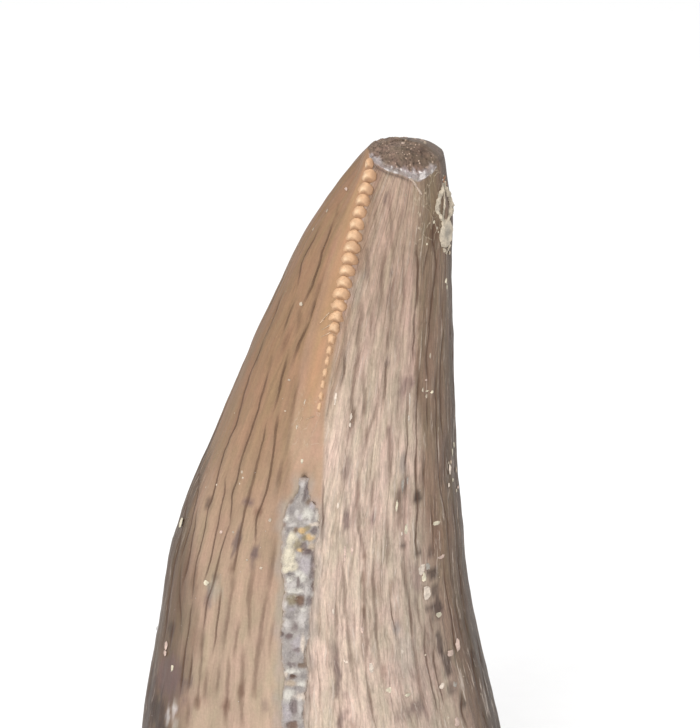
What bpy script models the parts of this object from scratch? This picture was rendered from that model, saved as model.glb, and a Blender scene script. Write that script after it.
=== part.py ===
"""Fossil tooth crown of a large meat-eating archosaur, upright on its broken base.

Metres, +Z from the base to the tip. The origin is the middle of the flat base. The convex
front edge of the bite faces -X, the hollow rear edge +X, and the tongue side -Y. Angles are
in degrees and go round the crown from -Y (0) towards +X (90). All other sizes are in mm.
"""
import math
import random

import bpy
import bmesh
from mathutils import Vector

MM = 0.001

# The crown's sections: height, middle in X, middle in Y, half width and half depth.
HEIGHT, MIDDLE_X, MIDDLE_Y, HALF_WIDTH, HALF_DEPTH = range(5)
CROWN_SECTIONS = (
    (0.0, 0.00, 0.00, 9.30, 7.55),
    (4.2, -0.20, 0.03, 8.90, 7.20),
    (8.4, -0.42, 0.05, 8.36, 6.78),
    (13.4, -0.62, 0.05, 7.37, 5.98),
    (17.9, -0.46, 0.02, 6.61, 5.38),
    (22.4, 0.28, -0.06, 5.53, 4.56),
    (26.9, 1.15, -0.22, 4.48, 3.78),
    (31.3, 2.10, -0.44, 3.44, 2.97),
    (33.1, 2.63, -0.54, 2.89, 2.52),
    (34.3, 2.92, -0.62, 2.32, 2.12),
    (35.4, 3.22, -0.68, 1.78, 1.66),
    (36.0, 3.30, -0.70, 1.40, 1.35),
)
COLUMNS = 80
WALL_ROWS = 30
WELD_DISTANCE = 1e-5

# The broken foot: the rim draws in where the root snapped off.
FOOT_CHAMFER_HEIGHT = 0.9
FOOT_CHAMFER_MIN, FOOT_CHAMFER_MAX = 0.15, 0.75

# The worn tip: the height of its rim round the crown, by angle, and its rounded top.
RIM_HEIGHTS = (
    (-180.0, 35.72), (-110.0, 35.78), (-60.0, 35.72), (-40.0, 35.40), (-17.0, 35.03),
    (2.0, 34.84), (18.0, 34.48), (31.0, 34.42), (43.0, 34.72), (60.0, 35.10),
    (95.0, 35.22), (140.0, 35.55), (180.0, 35.72),
)
TIP_TOP = (3.15, -0.30, 36.0)
TIP_SPREADS = (0.96, 0.84, 0.60, 0.32, 0.10)
TIP_ROUNDNESS = 3.0

# The front cutting edge (carina) twists onto the tongue side: its angle by height.
FRONT_EDGE = (
    (0.0, -9.0), (8.0, -8.4), (14.0, -7.4), (18.4, -8.3), (21.6, -11.5), (25.6, -15.2),
    (28.5, -17.8), (31.2, -20.2), (32.7, -25.0), (33.8, -29.8), (34.7, -36.0), (35.6, -54.0),
)
FRONT_RIDGE_HEIGHT, FRONT_RIDGE_HALF_WIDTH = 0.20, 0.60
FRONT_RIDGE_LOW, FRONT_RIDGE_FULL = 20.0, 26.0
FRONT_HOLLOW_DEPTH, FRONT_HOLLOW_OFFSET, FRONT_HOLLOW_HALF_WIDTH = 0.14, -1.15, 0.55

# The rear cutting edge runs from the tip almost to the foot, behind the +X flank.
REAR_EDGE = ((0.0, 112.0), (10.0, 114.0), (20.0, 117.0), (30.0, 121.0), (36.0, 126.0))
REAR_RIDGE_HEIGHT, REAR_RIDGE_HALF_WIDTH = 0.26, 0.62
REAR_RIDGE_LOW, REAR_RIDGE_FULL = 3.0, 8.0

# The flattened stretch of the tongue side, between the front edge and the +X flank.
FLAT_DEPTH, FLAT_ANGLE, FLAT_SPREAD = 0.30, 22.0, 17.0
FLAT_LOW, FLAT_HIGH = 2.0, 46.0

# Lengthwise cracks leave low ribs between them.
CRACK_SEED = 41
CRACK_DEPTH_MIN, CRACK_DEPTH_MAX = 0.05, 0.16
CRACK_LOW_MIN, CRACK_LOW_MAX = 0.6, 9.0
CRACK_HIGH_MIN, CRACK_HIGH_MAX = 19.0, 32.5
CRACK_FADE = 2.5

# The denticles of both cutting edges: rounded beads in a string that runs up the ridge.
FRONT_DENTICLES = {
    "edge": FRONT_EDGE, "low": 25.3, "high": 35.7, "count": 21,
    "half_width": 0.33, "half_height": 0.34, "sink": 0.10, "steps": 3, "sides": 8,
}
REAR_DENTICLES = {
    "edge": REAR_EDGE, "low": 9.5, "high": 35.0, "count": 44,
    "half_width": 0.27, "half_height": 0.28, "sink": 0.09, "steps": 2, "sides": 6,
}
DENTICLE_NECK = 0.66
DENTICLE_END = 0.45
END_DENTICLES = 1.2
SMALL_DENTICLE = 0.62
SMALL_UP_TO, FULL_FROM = 0.18, 0.42

# The furrow below the front edge, and the grey sediment that fills it.
FURROW_LOW, FURROW_HIGH = 2.8, 21.6
FURROW_HALF_WIDTH, FURROW_END_HALF_WIDTH = 0.78, 0.22
FURROW_TAPER = 1.9
FURROW_DEPTH = 0.55
FURROW_CUTTER_RISE = 0.9
SEDIMENT_GAP = 0.06
SEDIMENT_LUMPS, SEDIMENT_EDGE_LUMPS, SEDIMENT_EDGE_DROP = 0.16, 0.05, 0.08
SEDIMENT_COLUMNS, SEDIMENT_ROWS = 4, 44
SEDIMENT_SEED = 7

# The cream mineral crust on the +X flank near the tip: a slim loop above a round drop.
LOOP_ANGLE, LOOP_HALF_ANGLE = 65.0, 17.0
LOOP_LOW, LOOP_HIGH, LOOP_TOP_PINCH = 32.45, 34.4, 0.75
LOOP_THICK, LOOP_STEPS, LOOP_SIDES = 0.14, 20, 6
DROP_ANGLE, DROP_HEIGHT = 69.0, 32.0
DROP_HALF_WIDTH, DROP_HALF_HEIGHT, DROP_THICK = 0.50, 0.66, 0.30
CRUST_GAP = 0.04
CRUST_BED_ANGLES, CRUST_BED_HEIGHTS = (36.0, 104.0), (30.8, 34.9)
CRUST_BED_COLUMNS, CRUST_BED_ROWS, CRUST_BED_DEPTH = 16, 8, 0.9

TOOTH_COLOUR = (0.42, 0.30, 0.21, 1.0)
SEDIMENT_COLOUR = (0.46, 0.44, 0.42, 1.0)
CRUST_COLOUR = (0.72, 0.66, 0.54, 1.0)


def clear_scene():
    for obj in list(bpy.data.objects):
        bpy.data.objects.remove(obj)


def blend(low, high, share):
    return low + (high - low) * share


def smooth_step(low, high, value):
    share = min(1.0, max(0.0, (value - low) / (high - low)))
    return share * share * (3.0 - 2.0 * share)


def bump(distance, half_width):
    return math.exp(-((distance / half_width) ** 2))


def along(table, at, column=1):
    """The table's column at this place, on a smooth curve through its rows."""
    last = len(table) - 1
    i = max(0, min(last - 1, sum(1 for row in table if row[0] <= at) - 1))
    (x0, y0), (x1, y1) = ((table[k][0], table[k][column]) for k in (i, i + 1))
    before, after = table[max(0, i - 1)], table[min(last, i + 2)]
    slope0 = (y1 - before[column]) / (x1 - before[0])
    slope1 = (after[column] - y0) / (after[0] - x0)
    t = min(1.0, max(0.0, (at - x0) / (x1 - x0)))
    span = x1 - x0
    return (
        y0 * (1 + 2 * t) * (1 - t) ** 2
        + slope0 * span * t * (1 - t) ** 2
        + y1 * t * t * (3 - 2 * t)
        + slope1 * span * t * t * (t - 1)
    )


def turn(angle):
    """The same angle, brought between -180 and 180 degrees."""
    return (angle + 180.0) % 360.0 - 180.0


def section(height):
    """Middle in X and Y, half width and half depth of the crown at this height."""
    return [along(CROWN_SECTIONS, height, c) for c in (MIDDLE_X, MIDDLE_Y, HALF_WIDTH, HALF_DEPTH)]


def mean_radius(height):
    _, _, half_width, half_depth = section(height)
    return (half_width + half_depth) / 2


def arc(angle, edge_angle, height):
    """Distance round the crown from an edge at edge_angle."""
    return math.radians(turn(angle - edge_angle)) * mean_radius(height)


def relief(angle, height):
    """How far the wall stands out from its plain oval."""
    from_front = arc(angle, along(FRONT_EDGE, height), height)
    from_rear = arc(angle, along(REAR_EDGE, height), height)
    front = smooth_step(FRONT_RIDGE_LOW, FRONT_RIDGE_FULL, height)
    rear = smooth_step(REAR_RIDGE_LOW, REAR_RIDGE_FULL, height)
    flat = math.sin(math.pi * smooth_step(FLAT_LOW, FLAT_HIGH, height))
    return (
        front * FRONT_RIDGE_HEIGHT * bump(from_front, FRONT_RIDGE_HALF_WIDTH)
        - front * FRONT_HOLLOW_DEPTH * bump(from_front - FRONT_HOLLOW_OFFSET, FRONT_HOLLOW_HALF_WIDTH)
        + rear * REAR_RIDGE_HEIGHT * bump(from_rear, REAR_RIDGE_HALF_WIDTH)
        - flat * FLAT_DEPTH * bump(turn(angle - FLAT_ANGLE), FLAT_SPREAD)
    )


def wall_frame(angle, height):
    """A point on the wall, and the outward direction there."""
    middle_x, middle_y, half_width, half_depth = section(height)
    a = math.radians(angle)
    outward = Vector((math.sin(a) / half_width, -math.cos(a) / half_depth, 0.0)).normalized()
    oval = Vector((middle_x + half_width * math.sin(a), middle_y - half_depth * math.cos(a), height))
    return oval + outward * relief(angle, height), outward


def wall(angle, height, lift=0.0):
    """A point this far outside the wall."""
    point, outward = wall_frame(angle, height)
    return point + outward * lift


def string_frame(before, after, outward):
    """Unit vectors along, across and out of a string that lies on the wall between two points."""
    ahead = (after - before).normalized()
    across = ahead.cross(outward).normalized()
    return ahead, across, across.cross(ahead)


def make_object(name, bm, colour, roughness, keep_sharp=35.0):
    mesh = bpy.data.meshes.new(name)
    bm.normal_update()
    bmesh.ops.recalc_face_normals(bm, faces=bm.faces)
    bmesh.ops.scale(bm, vec=(MM, MM, MM), verts=bm.verts)
    bm.to_mesh(mesh)
    bm.free()
    mesh.shade_smooth()
    mesh.set_sharp_from_angle(angle=math.radians(keep_sharp))
    obj = bpy.data.objects.new(name, mesh)
    bpy.context.scene.collection.objects.link(obj)
    material = bpy.data.materials.new(name)
    material.use_nodes = True
    shader = material.node_tree.nodes["Principled BSDF"]
    shader.inputs["Base Color"].default_value = colour
    shader.inputs["Roughness"].default_value = roughness
    shader.inputs["Metallic"].default_value = 0.0
    mesh.materials.append(material)
    return obj


def make_cutter(name, bm):
    """A helper for a Boolean, left out of the model itself."""
    cutter = make_object(name, bm, TOOTH_COLOUR, 1.0)
    cutter.hide_render = True
    cutter.display_type = "WIRE"
    return cutter


def combine(obj, other, operation):
    """Joins other to obj, or cuts it from obj, with the exact solver."""
    boolean = obj.modifiers.new(operation.title() + "_" + other.name, "BOOLEAN")
    boolean.operation = operation
    boolean.solver = "EXACT"
    boolean.object = other


def unit_grid(columns, rows):
    bm = bmesh.new()
    bmesh.ops.create_grid(bm, x_segments=columns, y_segments=rows, size=0.5)
    return bm


def grid_place(vert, columns, rows):
    """The column and row that this point of a unit grid is on."""
    return round((vert.co.x + 0.5) * columns), round((vert.co.y + 0.5) * rows)


def rolled_grid(columns, rows, place):
    """A grid whose points go where place(column, row) says, rolled up until its sides meet."""
    bm = unit_grid(columns, rows)
    for vert in bm.verts:
        column, row = grid_place(vert, columns, rows)
        vert.co = place(column % columns, row)
    bmesh.ops.remove_doubles(bm, verts=bm.verts, dist=WELD_DISTANCE)
    return bm


def close_ends(bm):
    open_edges = [edge for edge in bm.edges if edge.is_boundary]
    bmesh.ops.holes_fill(bm, edges=open_edges, sides=0)


def wall_slab(columns, rows, spot, floor, top):
    """A slab that follows the wall.

    spot(column, row) gives an angle and a height, floor is the slab's depth inside the wall,
    and top(column, row) is how far its outer face stands outside it.
    """
    bm = unit_grid(columns, rows)
    doubled = bmesh.ops.extrude_face_region(bm, geom=bm.faces[:])["geom"]
    raised = [item for item in doubled if isinstance(item, bmesh.types.BMVert)]
    bmesh.ops.translate(bm, verts=raised, vec=(0.0, 0.0, 1.0))
    for vert in bm.verts:
        column, row = grid_place(vert, columns, rows)
        lift = top(column, row) if vert.co.z > 0.5 else -floor
        vert.co = wall(*spot(column, row), lift)
    return bm


def crown_cracks():
    """For every second column: how deep its crack is, and the heights it runs between."""
    pick = random.Random(CRACK_SEED)
    cracks = {}
    for column in range(0, COLUMNS, 2):
        depth = pick.uniform(CRACK_DEPTH_MIN, CRACK_DEPTH_MAX)
        low = pick.uniform(CRACK_LOW_MIN, CRACK_LOW_MAX)
        high = pick.uniform(CRACK_HIGH_MIN, CRACK_HIGH_MAX)
        cracks[column] = (depth, low, high)
    return cracks


def crack_depth(cracks, column, height):
    if column not in cracks:
        return 0.0
    depth, low, high = cracks[column]
    fade_in = smooth_step(low - CRACK_FADE, low, height)
    fade_out = smooth_step(high + CRACK_FADE, high, height)
    return depth * fade_in * fade_out


def foot_chamfers():
    """How far each column of the rim draws in at the foot."""
    pick = random.Random(CRACK_SEED + 1)
    rough = [pick.uniform(FOOT_CHAMFER_MIN, FOOT_CHAMFER_MAX) for _ in range(COLUMNS)]
    return [(rough[c - 1] + rough[c] + rough[(c + 1) % COLUMNS]) / 3 for c in range(COLUMNS)]


def tip_point(angle, spread):
    """A point on the worn tip: spread is 1 on its rim and 0 at its top."""
    rim = wall(angle, along(RIM_HEIGHTS, angle))
    top = Vector(TIP_TOP)
    dome = (top.z - rim.z) * (spread - spread**TIP_ROUNDNESS)
    return top + (rim - top) * spread + Vector((0.0, 0.0, dome))


def crown_shape():
    """The whole crown with its ribs, without its denticles."""
    cracks = crown_cracks()
    chamfers = foot_chamfers()

    def place(column, row):
        angle = turn(360.0 * column / COLUMNS)
        if row == 0:
            return wall(angle, 0.0, -chamfers[column])
        if row > WALL_ROWS:
            return tip_point(angle, TIP_SPREADS[row - WALL_ROWS - 1])
        rim = along(RIM_HEIGHTS, angle)
        height = blend(FOOT_CHAMFER_HEIGHT, rim, (row - 1) / (WALL_ROWS - 1))
        return wall(angle, height, -crack_depth(cracks, column, height))

    bm = rolled_grid(COLUMNS, WALL_ROWS + len(TIP_SPREADS), place)
    close_ends(bm)
    return bm


def denticle_row(edge, low, high, count, half_width, half_height, sink, steps, sides):
    """One cutting edge's denticles: a string of beads sunk in the crown's ridge."""
    rows = count * steps

    def size(row):
        """How full the string is: necked between denticles, small low down and at its ends."""
        share = row / rows
        bead = blend(DENTICLE_NECK, 1.0, math.sin(math.pi * (row % steps) / steps))
        low_down = blend(SMALL_DENTICLE, 1.0, smooth_step(SMALL_UP_TO, FULL_FROM, share))
        at_end = blend(DENTICLE_END, 1.0, smooth_step(0.0, END_DENTICLES, min(share, 1.0 - share) * count))
        return bead * low_down * at_end

    def middle(row):
        height = blend(low, high, row / rows)
        return wall_frame(along(edge, height), height)

    def place(column, row):
        point, outward = middle(row)
        _, across, out = string_frame(middle(row - 0.5)[0], middle(row + 0.5)[0], outward)
        a = 2.0 * math.pi * column / sides
        sideways = across * math.cos(a) * half_width * size(row)
        return point + sideways + out * (math.sin(a) * half_height * size(row) - sink)

    bm = rolled_grid(sides, rows, place)
    close_ends(bm)
    return bm


def furrow_half_width(height):
    at_top = smooth_step(FURROW_HIGH - FURROW_TAPER, FURROW_HIGH, height)
    at_foot = smooth_step(FURROW_LOW + FURROW_TAPER, FURROW_LOW, height)
    return blend(FURROW_HALF_WIDTH, FURROW_END_HALF_WIDTH, max(at_top, at_foot))


def furrow_slab(floor, top, grow):
    """A slab that follows the furrow, wider and longer by grow on each side."""

    def spot(column, row):
        height = blend(FURROW_LOW - grow, FURROW_HIGH + grow, row / SEDIMENT_ROWS)
        sideways = blend(-1.0, 1.0, column / SEDIMENT_COLUMNS) * (furrow_half_width(height) + grow)
        return along(FRONT_EDGE, height) + math.degrees(sideways / mean_radius(height)), height

    return wall_slab(SEDIMENT_COLUMNS, SEDIMENT_ROWS, spot, floor, top)


def lumpy_top(column, row):
    """How far the sediment's lumps stand outside the wall: along the edges a little inside it."""
    lump = random.Random(SEDIMENT_SEED + column + row * (SEDIMENT_COLUMNS + 1)).uniform(-1.0, 1.0)
    if column in (0, SEDIMENT_COLUMNS) or row in (0, SEDIMENT_ROWS):
        return lump * SEDIMENT_EDGE_LUMPS - SEDIMENT_EDGE_DROP
    return lump * SEDIMENT_LUMPS


def crust_loop():
    """The slim loop of the crust, a closed ring of tube lying on the wall."""

    def middle(step):
        a = 2.0 * math.pi * step / LOOP_STEPS
        height = blend(LOOP_LOW, LOOP_HIGH, 0.5 + 0.5 * math.cos(a))
        lower_half = smooth_step(LOOP_HIGH, (LOOP_LOW + LOOP_HIGH) / 2, height)
        reach = LOOP_HALF_ANGLE * blend(LOOP_TOP_PINCH, 1.0, lower_half)
        return wall_frame(LOOP_ANGLE + reach * math.sin(a), height)

    def place(side, step):
        point, outward = middle(step % LOOP_STEPS)
        before, after = middle(step % LOOP_STEPS - 0.5)[0], middle(step % LOOP_STEPS + 0.5)[0]
        _, across, _ = string_frame(before, after, outward)
        a = 2.0 * math.pi * side / LOOP_SIDES
        return point + (across * math.cos(a) + outward * math.sin(a)) * LOOP_THICK

    return rolled_grid(LOOP_SIDES, LOOP_STEPS, place)


def crust_drop():
    """The round drop under the loop, a flattened ball lying on the wall."""
    bm = bmesh.new()
    bmesh.ops.create_uvsphere(bm, u_segments=12, v_segments=8, radius=1.0)
    point, outward = wall_frame(DROP_ANGLE, DROP_HEIGHT)
    end = wall(DROP_ANGLE, DROP_HEIGHT + DROP_HALF_HEIGHT)
    up, across, out = string_frame(point, end, outward)
    for vert in bm.verts:
        x, y, z = vert.co
        vert.co = point + across * x * DROP_HALF_WIDTH + up * z * DROP_HALF_HEIGHT + out * y * DROP_THICK
    return bm


def crust_bed():
    """The stretch of crown under the crust, swollen by the gap between them."""

    def spot(column, row):
        angle = blend(*CRUST_BED_ANGLES, column / CRUST_BED_COLUMNS)
        return angle, blend(*CRUST_BED_HEIGHTS, row / CRUST_BED_ROWS)

    def top(column, row):
        return CRUST_GAP

    return wall_slab(CRUST_BED_COLUMNS, CRUST_BED_ROWS, spot, CRUST_BED_DEPTH, top)


def build_tooth():
    """The crown with both rows of denticles, and the furrow cut in it."""
    tooth = make_object("tooth", crown_shape(), TOOTH_COLOUR, 0.5)
    combine(tooth, make_cutter("front_denticles", denticle_row(**FRONT_DENTICLES)), "UNION")
    combine(tooth, make_cutter("rear_denticles", denticle_row(**REAR_DENTICLES)), "UNION")
    furrow = furrow_slab(FURROW_DEPTH, lambda column, row: FURROW_CUTTER_RISE, 0.0)
    combine(tooth, make_cutter("furrow", furrow), "DIFFERENCE")
    return tooth


def build_sediment():
    """The grey sediment left in the furrow, a hair clear of its floor and sides."""
    slab = furrow_slab(FURROW_DEPTH - SEDIMENT_GAP, lumpy_top, -SEDIMENT_GAP)
    make_object("sediment_strip", slab, SEDIMENT_COLOUR, 0.8)


def build_crust():
    """The cream crust: loop and drop in one piece, its back hollowed to the crown."""
    crust = make_object("mineral_crust", crust_drop(), CRUST_COLOUR, 0.7)
    combine(crust, make_cutter("crust_loop", crust_loop()), "UNION")
    combine(crust, make_cutter("crust_bed", crust_bed()), "DIFFERENCE")


def centre_on_foot(tooth):
    """Moves everything so that the middle of the tooth's outline is over the origin."""
    xs = [vert.co.x for vert in tooth.data.vertices]
    ys = [vert.co.y for vert in tooth.data.vertices]
    middle = Vector(((min(xs) + max(xs)) / 2, (min(ys) + max(ys)) / 2, 0.0))
    for obj in bpy.data.objects:
        obj.location = -middle


def main():
    clear_scene()
    tooth = build_tooth()
    build_sediment()
    build_crust()
    centre_on_foot(tooth)


if __name__ == "__main__":
    main()
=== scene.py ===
"""Looks of the fossil tooth crown: each piece is built and finished here, over the frame.

Sizes and places are in mm, and angles in degrees round the crown from -Y (0), the tongue side
that faces the camera, towards +X (90). Heights run up from the flat base to the worn tip.
Cracks, marks, flecks and the sediment's sides and grains are placed by pixels across and down in
the camera's picture, and spot_on_wall finds the heights and angles that show there.
"""

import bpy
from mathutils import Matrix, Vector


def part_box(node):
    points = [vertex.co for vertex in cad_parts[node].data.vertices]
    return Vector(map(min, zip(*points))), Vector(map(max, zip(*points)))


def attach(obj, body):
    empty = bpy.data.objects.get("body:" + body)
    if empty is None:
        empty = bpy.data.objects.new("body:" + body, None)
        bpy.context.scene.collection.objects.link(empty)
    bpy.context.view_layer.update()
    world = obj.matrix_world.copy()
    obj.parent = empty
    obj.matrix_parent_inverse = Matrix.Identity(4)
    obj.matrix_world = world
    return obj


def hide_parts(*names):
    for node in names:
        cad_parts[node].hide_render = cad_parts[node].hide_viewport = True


bl_info = {
    "name": "Fossil Tooth Crown",
    "version": (1, 0, 0),
    "blender": (4, 5, 0),
    "location": "View3D > Sidebar > Fossil Tooth",
    "description": "Builds a worn fossil tooth with its denticles, sediment and mineral crust",
    "category": "Object",
}

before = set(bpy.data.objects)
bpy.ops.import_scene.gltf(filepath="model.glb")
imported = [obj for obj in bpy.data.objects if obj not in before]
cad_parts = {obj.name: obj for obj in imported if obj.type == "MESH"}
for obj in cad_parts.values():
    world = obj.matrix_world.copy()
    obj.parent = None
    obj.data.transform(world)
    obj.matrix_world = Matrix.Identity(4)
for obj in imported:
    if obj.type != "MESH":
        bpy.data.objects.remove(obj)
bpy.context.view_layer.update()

import math
import random

import bmesh
import bpy
import numpy as np
from bpy.props import FloatProperty, FloatVectorProperty, IntProperty, PointerProperty
from mathutils import Vector, noise

MM = 0.001

# The crown's sections: height, middle in X, middle in Y, half width and half depth.
MIDDLE_X, MIDDLE_Y, HALF_WIDTH, HALF_DEPTH = 1, 2, 3, 4
CROWN_SECTIONS = (
    (0.0, 0.00, 0.00, 9.30, 7.55),
    (4.2, -0.20, 0.03, 8.90, 7.20),
    (8.4, -0.42, 0.05, 8.36, 6.78),
    (13.4, -0.62, 0.05, 7.37, 5.98),
    (17.9, -0.46, 0.02, 6.61, 5.38),
    (22.4, 0.28, -0.06, 5.53, 4.56),
    (26.9, 1.15, -0.22, 4.48, 3.78),
    (31.3, 2.10, -0.44, 3.44, 2.97),
    (33.1, 2.63, -0.54, 2.89, 2.52),
    (34.3, 2.94, -0.62, 2.36, 2.14),
    (35.4, 3.25, -0.68, 1.84, 1.70),
    (36.0, 3.30, -0.70, 1.40, 1.35),
)

# The worn tip: the height of its rim by angle, and its rounded top.
RIM_HEIGHTS = (
    (-180.0, 35.72), (-110.0, 35.78), (-60.0, 35.72), (-40.0, 35.40), (-17.0, 35.03),
    (2.0, 34.84), (18.0, 34.62), (31.0, 34.58), (43.0, 34.80), (60.0, 35.16),
    (95.0, 35.30), (140.0, 35.55), (180.0, 35.72),
)
TIP_TOP = (3.15, -0.30, 36.0)

# Marks on the worn tip, each across, front to back, half width, half depth and colour.
TIP_MARKS = (
    (3.90, -1.45, 0.60, 0.40, "bark"), (4.20, -0.90, 0.35, 0.35, "bark"),
    (2.70, 0.10, 0.30, 0.25, "bark"), (3.40, 0.30, 0.12, 0.26, "pink"),
    (2.98, 0.45, 0.20, 0.20, "soot"), (2.85, 0.75, 0.16, 0.18, "white"),
    (4.15, 0.10, 0.04, 0.60, "pale"), (4.02, 0.70, 0.16, 0.10, "pale"),
    (4.28, -0.50, 0.03, 0.35, "pale"), (3.10, 0.10, 0.16, 0.06, "pale"),
    (3.85, -0.10, 0.05, 0.12, "pale"), (3.60, -0.30, 0.10, 0.30, "soot"),
    (4.40, 0.30, 0.10, 0.30, "soot"), (3.30, -0.75, 0.07, 0.12, "pink"),
    (3.75, 0.55, 0.06, 0.10, "pink"),
)

# The cutting edges: their angle by height.
FRONT_EDGE = (
    (0.0, -9.0), (8.0, -8.4), (14.0, -7.4), (18.4, -8.3), (21.6, -11.5), (25.6, -15.2),
    (28.5, -17.8), (31.2, -20.2), (32.7, -25.0), (33.8, -29.8), (34.7, -36.0), (35.6, -54.0),
)
REAR_EDGE = ((0.0, 112.0), (10.0, 114.0), (20.0, 117.0), (30.0, 121.0), (36.0, 126.0))

# The crown's mesh: columns crowd together towards the camera, where the finest cracks are.
COLUMNS, COLUMN_CROWDING = 520, 0.42
BASE_SPREADS = (0.05, 0.35, 0.62, 0.82, 0.94)
FOOT_HEIGHT, FOOT_ROWS, WALL_ROWS, TIP_ROWS = 0.9, 5, 150, 22
# The wall's rows crowd together under the rim: share of the rows, and share of the climb.
WALL_CLIMB = ((0.0, 0.0), (0.12, 0.21), (0.72, 0.92), (1.0, 1.0))
SKIN_RADIUS = 8.0

# The smooth orange band along the front edge: its two sides by height.
BAND_LEFT = (
    (19.6, -15.0), (21.8, -19.0), (23.1, -24.0), (24.9, -27.0), (26.6, -31.0), (29.3, -33.0),
    (31.9, -38.0), (34.5, -44.0), (35.8, -52.0),
)
BAND_RIGHT = (
    (19.6, -1.0), (22.3, -5.0), (25.0, -10.0), (26.3, -11.0), (28.5, -13.0), (29.9, -15.0),
    (31.6, -18.0), (33.0, -22.0), (34.4, -29.0), (35.8, -46.0),
)
BAND_LOW = 19.8
# Where the left face darkens towards its outline: partly its own darker brown, partly painted shade where the
# wall rounds away.
LEFT_SHADE = ((6.0, -48.0), (12.0, -46.0), (16.0, -50.0), (19.0, -61.0), (21.5, -75.0), (24.0, -92.0))
# Where the pale tongue face gives way to the dark flank.
FLANK_EDGE = (
    (9.0, 54.0), (12.0, 51.0), (16.0, 47.5), (20.0, 44.0), (24.7, 41.0), (26.8, 37.5),
    (29.3, 37.0), (31.0, 34.0), (33.0, 32.0), (36.0, 30.0),
)

# Cracks from top to foot, as pixels across and down in the picture.
BOLD_CRACKS = (
    ((333, 222), (329, 234), (326, 243), (322, 250), (320, 260), (318, 267), (314, 277),
     (312, 285), (308, 294), (304, 301)),
    ((265, 339), (262, 347), (256, 362), (252, 369), (249, 378), (246, 387), (243, 394),
     (241, 402), (239, 409), (235, 424), (233, 430), (229, 436), (227, 443), (224, 450),
     (220, 464), (217, 479), (214, 493), (212, 500), (209, 505), (206, 518), (205, 526),
     (201, 542), (199, 551), (196, 560), (194, 576), (192, 596)),
    ((268, 372), (266, 379), (262, 393), (259, 400), (258, 407), (254, 419), (251, 428),
     (248, 436), (244, 448), (240, 461), (238, 468), (238, 475), (236, 482), (233, 490),
     (231, 499), (232, 505), (230, 524)),
    ((287, 357), (285, 365), (281, 379), (280, 387), (276, 403), (275, 408)),
    ((316, 297), (314, 305), (312, 312), (310, 320)),
    ((196, 512), (194, 528), (192, 537), (190, 552), (187, 567), (185, 575), (183, 582)),
    ((202, 470), (198, 490), (193, 509), (190, 524), (186, 540), (182, 557)),
    ((187, 503), (183, 522), (180, 542), (176, 560), (172, 580), (168, 604), (165, 628)),
    ((192, 604), (190, 612), (188, 632), (185, 650), (182, 670), (180, 692)),
    ((174, 622), (172, 632), (169, 648)),
    ((192, 655), (190, 672), (188, 688)),
    ((418, 243), (417, 252), (418, 262), (418, 297), (417, 304), (415, 312)),
    ((419, 372), (419, 382), (418, 400), (417, 410), (417, 430), (418, 440), (416, 460),
     (416, 480), (418, 500), (418, 512), (415, 544), (417, 555)),
    ((434, 218), (433, 238), (434, 247), (437, 264), (435, 281), (433, 290), (431, 312),
     (429, 323), (430, 330), (427, 352), (427, 362), (428, 382)),
    ((444, 328), (443, 340), (442, 364), (441, 390), (442, 412), (443, 436)),
    ((437, 368), (437, 380), (436, 392), (437, 404), (437, 428), (439, 464), (441, 488),
     (447, 520), (447, 532), (450, 558), (453, 587)),
    ((452, 500), (455, 522), (457, 548), (461, 575), (463, 605)),
    ((444, 562), (446, 580), (449, 600), (453, 620), (455, 645), (457, 657)),
    ((455, 600), (459, 620), (463, 642)),
    ((463, 600), (464, 610), (468, 636)),
    ((470, 645), (473, 668), (480, 700)),
    ((461, 690), (462, 700), (461, 708), (467, 727)),
    ((482, 710), (488, 727)),
)
CRACKS = (
    ((318, 230), (315, 237), (311, 244), (303, 258), (300, 266), (297, 284)),
    ((295, 285), (293, 289)),
    ((293, 303), (290, 310), (287, 318), (283, 332)),
    ((281, 296), (277, 305), (271, 324), (265, 339)),
    ((266, 425), (263, 440), (259, 456), (255, 470), (252, 484), (248, 498), (244, 512),
     (243, 519), (240, 533), (237, 548), (236, 556), (233, 572)),
    ((278, 417), (275, 433), (274, 447), (271, 463), (269, 478), (266, 492), (261, 506),
     (258, 513), (256, 520), (255, 543)),
    ((225, 478), (225, 490), (221, 506), (218, 521), (213, 543), (211, 557), (207, 572), (204, 580)),
    ((230, 524), (226, 533), (220, 552), (217, 568), (212, 586), (206, 601), (204, 620), (203, 630)),
    ((310, 320), (304, 334), (300, 340), (298, 347), (294, 359)),
    ((170, 600), (167, 618), (163, 642)),
    ((181, 570), (179, 590), (180, 610), (181, 630)),
    ((221, 590), (218, 610), (215, 640), (213, 651)),
    ((415, 312), (415, 338), (413, 348), (413, 360)),
    ((427, 397), (427, 408), (428, 430)),
    ((442, 300), (442, 324)),
    ((430, 245), (427, 255), (423, 275)),
    ((450, 330), (451, 375), (452, 435)),
    ((424, 462), (424, 472), (425, 490)),
    ((431, 505), (433, 527), (433, 550)),
    ((435, 498), (435, 515)),
    ((445, 440), (446, 475)),
    ((435, 645), (434, 660), (439, 684), (444, 705)),
    ((425, 630), (426, 654), (431, 678), (438, 714)),
    ((418, 600), (419, 618)),
    ((429, 612), (433, 632)),
    ((474, 620), (479, 650), (483, 676), (489, 702)),
    ((409, 590), (411, 612), (412, 636)),
    ((390, 596), (392, 616), (396, 632)),
    ((368, 684), (372, 708), (373, 720)),
    ((323, 480), (323, 522), (322, 535)),
    ((408, 400), (407, 422), (408, 444), (404, 470)),
    ((387, 355), (386, 370), (385, 392), (384, 400)),
    ((399, 218), (398, 230)),
    ((345, 355), (344, 373), (341, 386)),
)
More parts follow.
